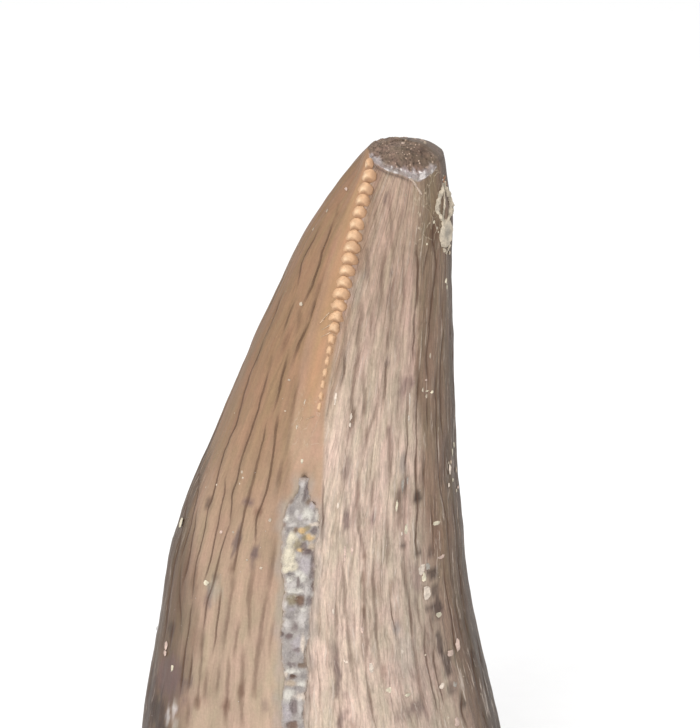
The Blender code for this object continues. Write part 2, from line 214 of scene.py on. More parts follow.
SOFT_CRACKS = (
    ((338, 204), (337, 214), (333, 222)),
    ((312, 341), (305, 356), (304, 370), (299, 382), (295, 396), (293, 411), (290, 435), (287, 449)),
    ((320, 282), (318, 290), (316, 297)),
    ((299, 309), (300, 318), (297, 331)),
    ((291, 329), (285, 343), (281, 356)),
    ((272, 355), (268, 372)),
    ((233, 572), (232, 588), (228, 612), (225, 638), (223, 648)),
    ((253, 566), (251, 582), (249, 598), (249, 622), (250, 638)),
    ((268, 590), (264, 608), (261, 625), (260, 643), (256, 660), (255, 680), (254, 690)),
    ((243, 650), (243, 680), (241, 700), (242, 727)),
    ((228, 657), (228, 677), (227, 697), (225, 706), (225, 727)),
    ((203, 630), (202, 652), (200, 676), (197, 708)),
    ((219, 664), (216, 694)),
    ((239, 622), (236, 642), (233, 658)),
    ((275, 540), (273, 562), (269, 590)),
    ((281, 463), (277, 492)),
    ((206, 672), (204, 700)),
    ((188, 700), (187, 725)),
    ((366, 246), (368, 264), (368, 280)),
    ((361, 300), (361, 318), (359, 330), (358, 360), (355, 370), (352, 400), (353, 420), (349, 436)),
    ((385, 250), (385, 260), (382, 276), (382, 296), (381, 314)),
    ((396, 274), (392, 290), (391, 312), (391, 335)),
    ((389, 325), (388, 345), (387, 355)),
    ((363, 372), (365, 392), (364, 412), (365, 420)),
    ((377, 404), (373, 420), (368, 434), (365, 450)),
    ((387, 420), (389, 440), (391, 485)),
    ((401, 485), (399, 497), (400, 518), (399, 527)),
    ((357, 480), (359, 528), (363, 548), (364, 556)),
    ((373, 485), (372, 510)),
    ((388, 515), (388, 552), (387, 565)),
    ((342, 560), (344, 584), (345, 606), (347, 628), (350, 652), (356, 690)),
    ((373, 562), (374, 596), (376, 618), (377, 640), (380, 664)),
    ((363, 575), (365, 605), (367, 650), (366, 662)),
    ((402, 560), (408, 596)),
    ((336, 600), (337, 622), (335, 632)),
    ((412, 640), (417, 660), (420, 684), (425, 708)),
)
FAINT_CRACKS = (
    ((274, 620), (270, 645), (270, 657)),
    ((397, 325), (396, 350)),
    ((319, 600), (320, 640)),
    ((376, 205), (375, 235)),
    ((390, 190), (392, 232), (393, 260)),
    ((404, 240), (404, 300)),
    ((372, 300), (371, 340)),
    ((399, 380), (397, 430)),
    ((344, 560), (340, 600)),
)
CRACK_HALF_WIDTHS = {"bold": 0.046, "plain": 0.042, "soft": 0.085, "faint": 0.065}
CRACK_STRENGTHS = {"bold": 1.0, "plain": 0.90, "soft": 0.58, "faint": 0.42}
HIDDEN_CRACKS, FOOT_CRACKS, HIDDEN_CRACK_SEED = 60, 44, 11
# Cracks are kept in layers, in which no two come closer than the clearance.
CRACK_LAYERS, CRACK_CLEARANCE, CRACK_REACH = ("a", "b", "c", "d", "e", "f"), 0.90, 1.0

# Marks: pixels across and down, half sizes in pixels, strength and colour.
MARKS = (
    (247, 503, 5, 4, 0.8, "plum"), (258, 513, 3, 5, 0.7, "umber"), (237, 541, 3, 11, 0.8, "plum"),
    (233, 567, 3, 6, 0.6, "umber"), (254, 554, 4, 9, 0.9, "plum"), (215, 577, 3, 6, 0.6, "umber"),
    (208, 598, 4, 9, 0.6, "plum"), (241, 690, 3, 9, 0.7, "umber"), (226, 706, 4, 6, 0.7, "umber"),
    (265, 706, 4, 5, 0.4, "plum"), (254, 690, 3, 6, 0.4, "umber"), (197, 703, 3, 6, 0.6, "umber"),
    (209, 503, 3, 5, 0.6, "soot"), (188, 684, 3, 6, 0.6, "plum"), (171, 630, 3, 8, 0.7, "soot"),
    (194, 578, 3, 14, 0.5, "umber"), (168, 678, 13, 22, 0.8, "plum"), (150, 706, 8, 34, 0.8, "soot"),
    (168, 716, 2, 8, 0.9, "white"), (174, 708, 2, 7, 0.8, "white"), (175, 724, 3, 5, 0.7, "ash"),
    (161, 727, 7, 6, 0.8, "soot"), (158, 712, 7, 15, 0.8, "soot"), (213, 590, 6, 12, 0.4, "ash"),
    (197, 640, 7, 16, 0.3, "umber"), (208, 685, 8, 18, 0.2, "umber"), (349, 458, 4, 4, 0.5, "plum"),
    (346, 473, 4, 9, 0.6, "plum"), (346, 520, 4, 11, 0.8, "plum"), (373, 520, 2, 6, 0.8, "plum"),
    (345, 500, 2, 8, 0.4, "plum"), (346, 540, 5, 6, 0.3, "plum"), (334, 652, 4, 14, 0.5, "plum"),
    (338, 672, 3, 15, 0.7, "plum"), (336, 690, 5, 7, 0.6, "plum"), (342, 716, 5, 5, 0.6, "plum"),
    (339, 726, 3, 7, 0.6, "plum"), (345, 693, 3, 3, 0.4, "plum"), (364, 611, 2, 5, 0.6, "umber"),
    (364, 556, 2, 5, 0.5, "umber"), (363, 577, 3, 5, 0.5, "umber"), (391, 587, 3, 8, 0.4, "umber"),
    (375, 588, 6, 12, 0.3, "umber"), (396, 630, 3, 7, 0.8, "slate"), (405, 655, 9, 26, 0.4, "ash"),
    (405, 713, 7, 9, 0.4, "plum"), (418, 708, 6, 9, 0.6, "plum"), (384, 672, 4, 8, 0.4, "umber"),
    (418, 497, 3, 8, 0.9, "soot"), (417, 553, 3, 5, 0.7, "soot"), (416, 580, 5, 16, 0.5, "plum"),
    (430, 553, 3, 5, 0.7, "soot"), (433, 573, 5, 6, 0.9, "soot"), (436, 590, 4, 6, 0.7, "soot"),
    (438, 608, 5, 10, 0.9, "soot"), (430, 608, 4, 5, 0.6, "soot"), (440, 642, 3, 14, 0.8, "soot"),
    (447, 665, 4, 13, 0.9, "soot"), (451, 690, 4, 8, 0.6, "soot"), (472, 655, 3, 8, 0.7, "soot"),
    (463, 703, 3, 6, 0.7, "soot"), (402, 545, 3, 4, 0.7, "soot"), (402, 555, 2, 3, 0.6, "soot"),
    (405, 482, 2, 9, 0.6, "soot"), (403, 464, 3, 10, 0.6, "slate"), (399, 497, 2, 6, 0.5, "plum"),
    (405, 388, 5, 10, 0.5, "plum"), (409, 381, 4, 3, 0.6, "plum"), (413, 384, 2, 4, 0.5, "plum"),
    (387, 362, 2, 5, 0.6, "plum"), (366, 432, 2, 6, 0.5, "umber"), (389, 428, 2, 4, 0.5, "plum"),
    (353, 418, 2, 9, 0.6, "umber"), (367, 274, 3, 7, 0.4, "plum"), (385, 199, 2, 5, 0.5, "plum"),
    (392, 272, 2, 2, 0.5, "plum"), (407, 348, 8, 32, 0.7, "rose"), (356, 290, 6, 14, 0.4, "haze"),
    (404, 280, 8, 20, 0.4, "rose"), (434, 232, 4, 12, 0.6, "rust_dark"), (446, 460, 5, 28, 0.4, "soot"),
    (402, 505, 8, 30, 0.3, "umber"), (440, 545, 8, 20, 0.3, "umber"),
)

# Flecks of mineral: pixels across and down, half sizes in pixels, and colour.
FLECKS = (
    (351, 417, 1.2, 3.5, "milk"), (350, 425, 1.2, 2.5, "milk"), (410, 398, 0.9, 10, "milk"),
    (409, 418, 1.0, 3, "milk"), (382, 436, 0.9, 10, "pale"), (382, 455, 1.0, 5, "milk"),
    (388, 456, 0.8, 3, "milk"), (398, 445, 0.8, 4, "milk"), (335, 400, 1.2, 7, "milk"),
    (333, 430, 1.0, 5, "cream"), (337, 436, 1.0, 4, "milk"), (327, 450, 1.2, 9, "cream"),
    (325, 470, 1.0, 6, "cream"), (362, 495, 1.3, 6, "milk"), (376, 488, 1.3, 7, "milk"),
    (374, 549, 1.6, 5, "milk"), (397, 505, 1.0, 5, "cream"), (406, 530, 1.3, 5, "cream"),
    (402, 534, 1.0, 2, "milk"), (403, 482, 1.2, 8, "ash"), (408, 474, 1.2, 10, "ash"),
    (320, 517, 2.4, 4, "cream"), (338, 505, 1.2, 3, "milk"), (345, 555, 1.2, 7, "pink"),
    (352, 550, 1.2, 5, "pink"), (333, 612, 1.2, 4, "milk"), (342, 650, 2.0, 4, "cream"),
    (345, 662, 2.2, 4, "milk"), (371, 668, 2.0, 5, "milk"), (362, 630, 1.5, 4, "pink"),
    (389, 690, 2.8, 2.6, "cream"), (408, 695, 2.6, 1.8, "cream"), (402, 651, 1.4, 3, "milk"),
    (427, 593, 3.4, 7, "milk"), (421, 566, 3.0, 8, "milk"), (424, 578, 1.8, 4, "cream"),
    (428, 566, 1.8, 4, "ash"), (437, 523, 3.0, 2.6, "cream"), (445, 533, 1.0, 3, "cream"),
    (443, 523, 1.0, 2, "cream"), (442, 556, 4.0, 2.4, "pink"), (439, 615, 2.2, 2.4, "cream"),
    (443, 686, 3.4, 3.6, "milk"), (455, 685, 2.0, 4, "ash"), (447, 715, 1.8, 6, "cream"),
    (457, 722, 2.0, 4, "pink"), (458, 645, 1.8, 6, "pink"), (450, 653, 2.6, 3, "pink"),
    (450, 470, 1.2, 5, "milk"), (452, 453, 0.8, 4, "cream"), (454, 445, 0.8, 3, "cream"),
    (458, 487, 1.8, 2, "pink"), (449, 485, 0.9, 2, "milk"), (453, 480, 0.8, 2, "cream"),
    (455, 493, 0.9, 2, "cream"), (451, 462, 0.8, 2, "pale"), (455, 472, 0.8, 3, "pale"),
    (426, 380, 1.0, 1, "pink"), (427, 391, 1.8, 0.8, "cream"), (432, 392, 1.3, 1.4, "cream"),
    (427, 244, 0.8, 1.5, "cream"), (434, 222, 0.9, 1.6, "cream"), (437, 226, 0.8, 1.4, "cream"),
    (346, 189, 1.2, 1.2, "pink"), (446, 281, 0.9, 3, "cream"), (447, 287, 0.9, 2, "cream"),
    (289, 380, 1.2, 1, "chalk"), (276, 412, 1.6, 1.6, "chalk"), (285, 411, 1.3, 1, "chalk"),
    (301, 304, 1.4, 1.8, "chalk"), (297, 427, 1.1, 2, "chalk"), (305, 402, 0.8, 4, "chalk"),
    (243, 478, 1.1, 1.6, "chalk"), (240, 484, 1.3, 1.4, "chalk"), (242, 472, 0.9, 1.6, "chalk"),
    (217, 485, 1.0, 1.2, "chalk"), (221, 532, 1.3, 1.6, "pink"), (233, 532, 1.1, 1, "chalk"),
    (234, 508, 0.9, 1.3, "chalk"), (261, 568, 1.4, 1.2, "chalk"), (247, 560, 1.0, 1, "chalk"),
    (206, 583, 2.2, 2.6, "cream"), (302, 461, 1.4, 2.2, "cream"), (270, 520, 1.4, 2, "chalk"),
    (182, 524, 1.8, 5, "cream"), (166, 645, 1.4, 4, "pink"), (165, 653, 1.4, 3, "pink"),
    (172, 668, 1.0, 3, "cream"), (417, 190, 0.8, 3, "pale"), (424, 222, 0.8, 3, "pale"),
    (419, 228, 1.2, 1.4, "pale"), (406, 195, 1.0, 1.2, "pale"), (426, 208, 0.9, 0.9, "pink"),
)
LOOSE_FLECKS, LOOSE_FLECK_SEED = 70, 5
# Slivers of chipped enamel beside the worn denticles: (height, angle) ends and half width.
SLIVERS = (
    ((28.45, -25), (28.85, -21), 0.035), ((28.05, -23), (28.35, -18), 0.035),
    ((27.75, -22), (28.0, -17), 0.030), ((28.3, -26), (28.55, -23), 0.025),
    ((24.1, -18), (24.3, -14), 0.025), ((23.9, -21), (24.2, -20), 0.025),
)

# The furrow below the front edge and the sediment in it: edges as pixels across and down.
FURROW_LOW, FURROW_HIGH, FURROW_DEPTH = 2.8, 21.6, 0.44
SEDIMENT_LEFT_SIDE = (
    (299, 470), (299, 480), (298, 488), (295, 496), (289, 502), (284, 512), (283, 524), (282, 540),
    (281, 556), (281, 571), (284, 580), (285, 592), (282, 602), (283, 614), (281, 626), (279, 633),
    (281, 640), (280, 654), (283, 668), (284, 684), (281, 695), (282, 727), (283, 760), (286, 800),
    (290, 852), (291, 880),
)
SEDIMENT_RIGHT_SIDE = (
    (309, 470), (309, 480), (309, 490), (311, 500), (317, 508), (320, 519), (320, 534), (317, 546),
    (316, 560), (316, 576), (315, 590), (314, 601), (311, 612), (311, 632), (308, 645), (308, 684),
    (305, 695), (305, 727), (306, 760), (306, 800), (303, 852), (302, 880),
)
SEDIMENT_COLUMNS, SEDIMENT_ROWS, SEDIMENT_THICK = 40, 340, 0.34

# Lumps and grains in the sediment: pixels across and down, half sizes in pixels, rise and colour. The
# brightest grains sit on raised lumps and are partly painted highlights.
SEDIMENT_GRAINS = (
    (301, 500, 3, 6, 0.05, "grey"), (293, 510, 4, 5, 0.03, "slate"), (305, 566, 6, 8, 0.08, "lilac"),
    (292, 584, 5, 5, 0.03, "white"), (292, 600, 6, 5, -0.06, "olive"), (290, 615, 4, 6, 0.0, "slate"),
    (297, 644, 4, 7, 0.05, "lilac"), (288, 655, 4, 4, 0.04, "slate"), (290, 683, 5, 3, 0.0, "pale"),
    (288, 712, 4, 8, 0.03, "lilac"), (291, 538, 4, 6, 0.04, "cream"), (312, 547, 3, 4, 0.02, "pale"),
    (304, 478, 4, 1.5, -0.06, "purple"), (307, 490, 1.8, 9, -0.12, "purple"),
    (302, 484, 1.7, 3, 0.06, "white"), (298, 492, 1.5, 6, -0.04, "slate"),
    (309, 502, 2.5, 3, -0.10, "brown"), (290, 501, 3, 2.5, -0.06, "brown"),
    (297, 513, 2.2, 3.5, 0.08, "white"), (287, 518, 2.6, 2.8, 0.12, "snow"),
    (301, 517, 2, 3, 0.05, "lilac"), (313, 504, 2.6, 5, 0.04, "lilac"),
    (318, 516, 1.8, 3.6, 0.08, "snow"), (308, 513, 4.4, 4.2, 0.20, "snow"),
    (307, 522, 3, 1.8, 0.08, "white"), (316, 524, 4, 1.8, 0.08, "milk"),
    (314, 531, 3, 3.2, -0.10, "purple"), (292, 525, 4, 2, 0.05, "white"),
    (284, 525, 1.5, 2, -0.04, "rust_dark"), (287, 533, 2, 6, -0.05, "slate"),
    (307, 528, 3, 2.5, 0.03, "olive"), (296, 530, 2.2, 2.8, -0.02, "brown"),
    (301, 530, 2.8, 3, 0.13, "ochre"), (310, 537, 4, 2.8, 0.13, "ochre"),
    (304, 538, 2.4, 3, -0.06, "olive"), (298, 545, 4.5, 4, 0.03, "olive"),
    (300, 550, 3, 1.8, 0.02, "ochre"), (304, 546, 2.6, 4, -0.08, "purple"),
    (308, 552, 3, 2.5, -0.14, "plum"), (288, 556, 5.2, 10, 0.15, "cream"),
    (285, 569, 3.6, 4, 0.10, "cream"), (293, 567, 4.6, 4.4, 0.14, "cream"),
    (299, 573, 4, 3.2, 0.15, "snow"), (303, 578, 3, 3, 0.15, "snow"),
    (291, 574, 5, 0.9, -0.08, "slate"), (313, 565, 2.2, 12, -0.12, "purple"),
    (313, 587, 2.4, 5, -0.12, "plum"), (290, 579, 3.5, 2, 0.12, "snow"),
    (298, 583, 1.3, 5, -0.08, "purple"), (303, 586, 2.4, 2.2, -0.03, "slate"),
    (294, 591, 7, 2.2, 0.12, "snow"), (307, 590, 3.2, 6, 0.09, "white"),
    (300, 601, 3.4, 6, -0.16, "umber"), (285, 605, 2.5, 5, 0.08, "white"),
    (293, 609, 2.4, 1.6, 0.07, "lilac"), (311, 601, 3.2, 6, -0.10, "purple"),
    (303, 610, 2.4, 2.4, 0.09, "snow"), (302, 619, 3.8, 8, 0.11, "white"),
    (309, 623, 2.4, 6, -0.05, "slate"), (287, 625, 3, 4, 0.06, "white"),
    (295, 628, 2.6, 4, -0.06, "purple"), (281, 634, 3, 2.4, -0.16, "plum"),
    (289, 636, 3.5, 2.6, -0.10, "plum"), (303, 645, 1.8, 8, 0.07, "milk"),
    (296, 650, 2.6, 1.8, -0.06, "purple"), (306, 655, 2.2, 8, -0.06, "brown"),
    (291, 665, 4, 2.6, -0.08, "purple"), (303, 666, 3.8, 2.2, -0.12, "brown"),
    (291, 671, 6, 1.8, 0.14, "snow"), (286, 675, 1.8, 3, 0.10, "milk"),
    (293, 677, 2.6, 1.8, -0.16, "umber"), (305, 676, 2.8, 1.8, -0.08, "slate"),
    (302, 684, 4, 2, 0.12, "snow"), (287, 688, 3, 2.4, -0.06, "slate"),
    (297, 690, 4, 3, -0.05, "slate"), (288, 695, 4.4, 5, 0.10, "snow"),
    (302, 697, 4.4, 3, 0.07, "milk"), (294, 708, 2.6, 8, -0.08, "purple"),
    (301, 706, 2.6, 8, 0.06, "white"), (304, 715, 2, 5, -0.05, "slate"),
    (293, 726, 5, 3.4, -0.10, "umber"), (302, 728, 3, 4, 0.02, "slate"),
    (290, 741, 5, 7, 0.06, "white"), (300, 752, 4, 8, -0.06, "slate"), (292, 766, 6, 8, 0.05, "grey"),
    (300, 782, 4, 7, 0.08, "lilac"), (290, 798, 4, 9, -0.06, "purple"), (299, 814, 4, 7, 0.06, "cream"),
    (293, 833, 4, 9, 0.05, "white"), (299, 850, 3, 6, -0.06, "brown"),
)

# The mineral crust: ribbons of (height, angle, half width, half thickness), and its drop.
LEFT_ARM = (
    (34.25, 63, 0.04, 0.04), (34.0, 60, 0.08, 0.07), (33.75, 54, 0.10, 0.08),
    (33.4, 49, 0.10, 0.09), (33.1, 49, 0.11, 0.08), (32.8, 54, 0.09, 0.07), (32.6, 57, 0.05, 0.04),
)
INNER_ARM = (
    (33.95, 62, 0.05, 0.05), (33.4, 60, 0.04, 0.05), (32.8, 57, 0.06, 0.06),
    (32.35, 58, 0.07, 0.06), (32.1, 61, 0.05, 0.05),
)
RIGHT_ARM = (
    (34.3, 68, 0.05, 0.05), (34.05, 66, 0.09, 0.09), (33.7, 70, 0.11, 0.11),
    (33.3, 74, 0.12, 0.12), (32.9, 71, 0.11, 0.11), (32.65, 66, 0.08, 0.08), (32.5, 64, 0.05, 0.05),
)
DROP_HEIGHT, DROP_ANGLE, DROP_SIZE = 31.98, 64.0, (0.56, 0.64, 0.20)
CRUST_CRUMBS = (
    (34.42, 68, 0.09, "rust"), (34.30, 66, 0.07, "rust"), (34.22, 72, 0.06, "rust"),
    (34.15, 69, 0.07, "cream"), (31.25, 62, 0.12, "cream"), (31.12, 66, 0.10, "cream"),
    (31.35, 72, 0.13, "cream"), (31.0, 74, 0.08, "cream"), (32.35, 50, 0.07, "cream"),
    (32.15, 52, 0.06, "cream"), (31.55, 78, 0.07, "rust"), (32.55, 68, 0.12, "cream"),
    (34.55, 67, 0.05, "cream"), (34.48, 72, 0.06, "rust"), (34.38, 64, 0.05, "snow"),
    (34.1, 73, 0.05, "rust"), (31.9, 80, 0.10, "snow"), (31.7, 76, 0.09, "snow"),
    (31.45, 67, 0.09, "snow"), (31.2, 70, 0.07, "cream"),
)

# A pale hair of mineral under the rim: (height, angle) points.
HAIR = ((34.62, 15), (34.50, 20), (34.30, 24), (34.10, 28), (33.92, 31))
HAIR_HALF_WIDTH = 0.045

# Denticles: the pitch is the same from end to end, and the lowest ones are small and worn.
FRONT_LOWEST, FRONT_PITCH = 24.65, 0.5025
REAR_LOWEST, REAR_HIGHEST = 9.6, 33.9
DENTICLE_HALF_HEIGHT, DENTICLE_SINK = 0.32, 0.03
FRONT_RISE, FRONT_WORN_BELOW, FRONT_SEED = 0.15, 29.0, 3
REAR_RISE, REAR_WORN_BELOW, REAR_SEED, REAR_WIDTH_SHARE = 0.22, 12.0, 4, 0.78
# How far round from the front cutting edge its denticles sit, by height.
FRONT_SHIFT = ((24.0, 1.5), (32.0, 1.5), (33.3, 1.5), (34.3, 2.0), (35.2, 3.0), (35.8, 5.0))
NO_SHIFT = ((0.0, 0.0), (36.0, 0.0))

# The camera: where it looks, how far off and how high it stands, and its picture.
CAMERA_TARGET = (0.95, -0.6, 25.67)
CAMERA_DISTANCE, CAMERA_ELEVATION = 130.0, 15.0
PICTURE_WIDTH, PICTURE_HEIGHT, PIXELS_PER_MM, SENSOR = 700, 728, 22.0, 36.0
# The floor and the lights, in metres.
FLOOR_HALF_SIZE = 2.5
KEY_PLACE, KEY_SIZE = (-0.16, -0.40, 0.26), 0.22
TOP_PLACE, TOP_SIZE = (0.0, 0.12, 0.60), 0.50
CLIP_NEAR, CLIP_FAR = 0.005, 20.0


def srgb(red, green, blue):
    """A linear colour from the 0 to 255 values of a colour picker."""
    values = np.array((red, green, blue)) / 255.0
    return tuple(np.where(values <= 0.04045, values / 12.92, ((values + 0.055) / 1.055) ** 2.4))


# Tints of marks, flecks and grains, and then those of single features.
TINTS = {
    "grey": srgb(170, 162, 156), "white": srgb(196, 189, 184), "cream": srgb(224, 213, 188),
    "ochre": srgb(208, 172, 116), "olive": srgb(142, 128, 100), "purple": srgb(122, 108, 106),
    "lilac": srgb(178, 169, 171), "brown": srgb(122, 100, 82), "slate": srgb(146, 138, 135),
    "rust": srgb(170, 120, 86), "pink": srgb(212, 186, 172), "pale": srgb(184, 164, 142),
    "soot": srgb(66, 52, 46), "milk": srgb(224, 208, 192),
    "plum": srgb(104, 84, 82), "umber": srgb(112, 82, 64),
    "ash": srgb(168, 160, 150), "rose": srgb(178, 152, 138), "haze": srgb(180, 164, 152),
    "rust_dark": srgb(92, 60, 46), "bark": srgb(94, 77, 64), "snow": srgb(214, 209, 199),
}
DARK_DASH, PALE_DASH, SCRATCH = srgb(106, 84, 80), srgb(214, 198, 184), srgb(202, 184, 160)
# The chalk tint on the rim also gives painted highlights on the chipped enamel.
# The glint tint is a painted highlight on the denticles and also their pale wear.
CRYSTAL, CHALK_AND_HIGHLIGHT, BEAD_GLINT = srgb(202, 176, 156), srgb(222, 214, 210), srgb(240, 212, 176)
# Beside the beads: the band's own golden tone, then painted shadow just right of the denticles.
BESIDE_BEADS, BEAD_SHADOW = srgb(172, 134, 101), srgb(134, 103, 79)
SCRATCHED, SHOULDER, UNDER_RIM = srgb(122, 105, 84), srgb(102, 88, 78), srgb(92, 76, 66)
SMEAR, FURROW_TINT, SEDIMENT_EDGE = srgb(160, 148, 138), srgb(132, 112, 98), srgb(172, 154, 140)
MAUVE_SHARE = (0.77, 0.70, 0.68, 1.0)
COOL_SHARE, WARM_SHARE = (0.93, 0.98, 0.93, 1.0), (1.05, 1.0, 1.02, 1.0)

# What all colour properties share, and what all lengths share.
COLOUR = {"subtype": "COLOR", "size": 3, "min": 0.0, "max": 1.0}
LENGTH = {"subtype": "DISTANCE", "unit": "LENGTH"}


class CrownSettings(bpy.types.PropertyGroup):
    """Sizes and colours of the crown."""

    left_top: FloatVectorProperty(
        name="Left Face, Top", description="Brown of the left face near the tip",
        default=srgb(150, 118, 91), **COLOUR)
    left_foot: FloatVectorProperty(
        name="Left Face, Foot", description="Paler brown of the left face low down",
        default=srgb(177, 153, 133), **COLOUR)
    # The left outline colour is partly the wall's own darker brown and partly painted shade where the wall
    # rounds away.
    left_edge: FloatVectorProperty(
        name="Left Outline", description="Darker brown towards the front flank",
        default=srgb(107, 87, 70), **COLOUR)
    band_top: FloatVectorProperty(
        name="Band, Top", description="Orange of the smooth band near the tip",
        default=srgb(151, 119, 98), **COLOUR)
    band_foot: FloatVectorProperty(
        name="Band, Foot", description="Orange of the smooth band at its lower end",
        default=srgb(172, 141, 118), **COLOUR)
    face_top: FloatVectorProperty(
        name="Tongue Face, Top", description="Rosy brown of the tongue face near the tip",
        default=srgb(173, 148, 130), **COLOUR)
    face_foot: FloatVectorProperty(
        name="Tongue Face, Foot", description="Paler rosy brown of the tongue face low down",
        default=srgb(202, 180, 164), **COLOUR)
    # The flank's olive brown is partly its own colour and partly painted shade of the side turned from the
    # light.
    flank: FloatVectorProperty(
        name="Flank", description="Olive brown of the flank",
        default=srgb(131, 109, 91), **COLOUR)
    back: FloatVectorProperty(
        name="Cheek Side", description="Brown of the side away from the camera",
        default=srgb(146, 121, 99), **COLOUR)
    dentine: FloatVectorProperty(
        name="Dentine", description="Dark brown of the bared dentine at the tip",
        default=srgb(112, 93, 80), **COLOUR)
    rim: FloatVectorProperty(
        name="Chipped Rim", description="Whitish lilac of the chipped enamel round the tip",
        default=srgb(172, 161, 160), **COLOUR)
    crack: FloatVectorProperty(
        name="Cracks", description="Dark brown inside the cracks",
        default=srgb(88, 63, 48), **COLOUR)
    crack_depth: FloatProperty(
        name="Crack Depth", description="How deep the cracks are",
        min=0.0, max=0.3 * MM, default=0.04 * MM, **LENGTH)
    rib_height: FloatProperty(
        name="Rib Height", description="How far the low ribs stand out",
        min=0.0, max=0.2 * MM, default=0.045 * MM, **LENGTH)


class DenticleSettings(bpy.types.PropertyGroup):
    """Sizes and colours of both rows of denticles."""

    front_count: IntProperty(
        name="Front Denticles", description="Beads along the front cutting edge",
        min=4, max=40, default=22)
    rear_count: IntProperty(
        name="Rear Denticles", description="Beads along the rear cutting edge",
        min=4, max=80, default=44)
    half_width: FloatProperty(
        name="Half Width", description="Half the width of a full front denticle",
        min=0.1 * MM, max=0.6 * MM, default=0.40 * MM, **LENGTH)
    colour: FloatVectorProperty(
        name="Peach", description="Peach of the denticles",
        default=srgb(210, 168, 130), **COLOUR)
    # The crease colour is painted shade where each denticle tucks under the next and down its right side.
    crease: FloatVectorProperty(
        name="Crease", description="Brown between the denticles",
        default=srgb(148, 111, 82), **COLOUR)


class SedimentSettings(bpy.types.PropertyGroup):
    """Size and colour of the sediment."""

    lump_height: FloatProperty(
        name="Lump Height", description="How rough the sediment is",
        min=0.0, max=0.3 * MM, default=0.08 * MM, **LENGTH)
    colour: FloatVectorProperty(
        name="Sediment", description="Grey of the sediment between its grains",
        default=srgb(160, 152, 147), **COLOUR)


class CrustSettings(bpy.types.PropertyGroup):
    """Colours of the mineral crust and the hair."""

    crust: FloatVectorProperty(
        name="Crust", description="Cream of the mineral crust",
        default=srgb(207, 193, 172), **COLOUR)
    drop: FloatVectorProperty(
        name="Drop", description="Grey in the middle of the crust's drop",
        default=srgb(150, 142, 130), **COLOUR)
    hair: FloatVectorProperty(
        name="Hair", description="Pale pink of the hair under the rim",
        default=srgb(208, 186, 168), **COLOUR)


class FleckSettings(bpy.types.PropertyGroup):
    """Colours of the flecks."""

    chalk: FloatVectorProperty(
        name="Chalk", description="Off-white of the chalky flecks",
        default=srgb(196, 180, 160), **COLOUR)
    sliver: FloatVectorProperty(
        name="Slivers", description="Peach of the enamel slivers",
        default=srgb(206, 176, 146), **COLOUR)


class StageSettings(bpy.types.PropertyGroup):
    """Light and floor."""

    key_power: FloatProperty(
        name="Key Light", description="Power of the soft light at the upper left",
        subtype="POWER", unit="POWER", min=0.0, max=20.0, default=1.1)
    top_power: FloatProperty(
        name="Top Light", description="Power of the soft light over the floor",
        subtype="POWER", unit="POWER", min=0.0, max=20.0, default=1.2)
    sky: FloatProperty(
        name="Sky", description="Strength of the even light from all round",
        min=0.0, max=3.0, default=0.80)
    floor: FloatVectorProperty(
        name="Floor", description="Near white of the floor",
        default=(0.93, 0.93, 0.93), **COLOUR)


def smooth_step(low, high, value):
    """0 up to low and 1 from high on, with a soft climb between them."""
    share = np.clip((value - low) / (high - low), 0.0, 1.0)
    return share * share * (3.0 - 2.0 * share)


def between(start, full, falling, end, value):
    """1 from full to falling, and down to 0 at start and at end."""
    return smooth_step(start, full, value) * smooth_step(end, falling, value)


def bump(distance, half_width):
    """1 at no distance, and next to nothing two half widths away."""
    return np.exp(-((distance / half_width) ** 2))


def blend(low, high, share):
    """The value this share of the way from low to high."""
    return low + (high - low) * share


def tint_blend(low, high, share):
    """Mixes colours point by point."""
    share = np.asarray(share)[..., None]
    return np.asarray(low) * (1.0 - share) + np.asarray(high) * share


def along(table, at, column=1):
    """The table's column at these places, on a smooth curve through its rows."""
    x = np.array([row[0] for row in table], float)
    y = np.array([row[column] for row in table], float)
    index = np.arange(len(x))
    before, after = np.maximum(index - 1, 0), np.minimum(index + 1, len(x) - 1)
    slope = (y[after] - y[before]) / (x[after] - x[before])
    at = np.asarray(at, float)
    i = np.clip(np.searchsorted(x, at, side="right") - 1, 0, len(x) - 2)
    span = x[i + 1] - x[i]
    t = np.clip((at - x[i]) / span, 0.0, 1.0)
    return (
        y[i] * (1 + 2 * t) * (1 - t) ** 2
        + slope[i] * span * t * (1 - t) ** 2
        + y[i + 1] * t * t * (3 - 2 * t)
        + slope[i + 1] * span * t * t * (t - 1)
    )


def turn(angle):
    """The same angle, brought between -180 and 180 degrees."""
    return (angle + 180.0) % 360.0 - 180.0


def mean_radius(height):
    """The mean of the crown's half width and half depth at this height."""
    return (along(CROWN_SECTIONS, height, HALF_WIDTH) + along(CROWN_SECTIONS, height, HALF_DEPTH)) / 2


def arc(angle, edge_angle, height):
    """Distance round the crown from an edge at edge_angle."""
    return np.radians(turn(angle - edge_angle)) * mean_radius(height)


def relief(angle, height):
    """How far the plain wall stands out from its oval: both cutting edges and the flat."""
    from_front = arc(angle, along(FRONT_EDGE, height), height)
    from_rear = arc(angle, along(REAR_EDGE, height), height)
    front, rear = smooth_step(20.0, 26.0, height), smooth_step(3.0, 8.0, height)
    flat = np.sin(math.pi * smooth_step(2.0, 46.0, height))
    return (
        front * 0.20 * bump(from_front, 0.60)
        - front * 0.14 * bump(from_front + 1.15, 0.55)
        + rear * 0.26 * bump(from_rear, 0.62)
        - flat * 0.30 * bump(turn(angle - 22.0), 17.0)
    )


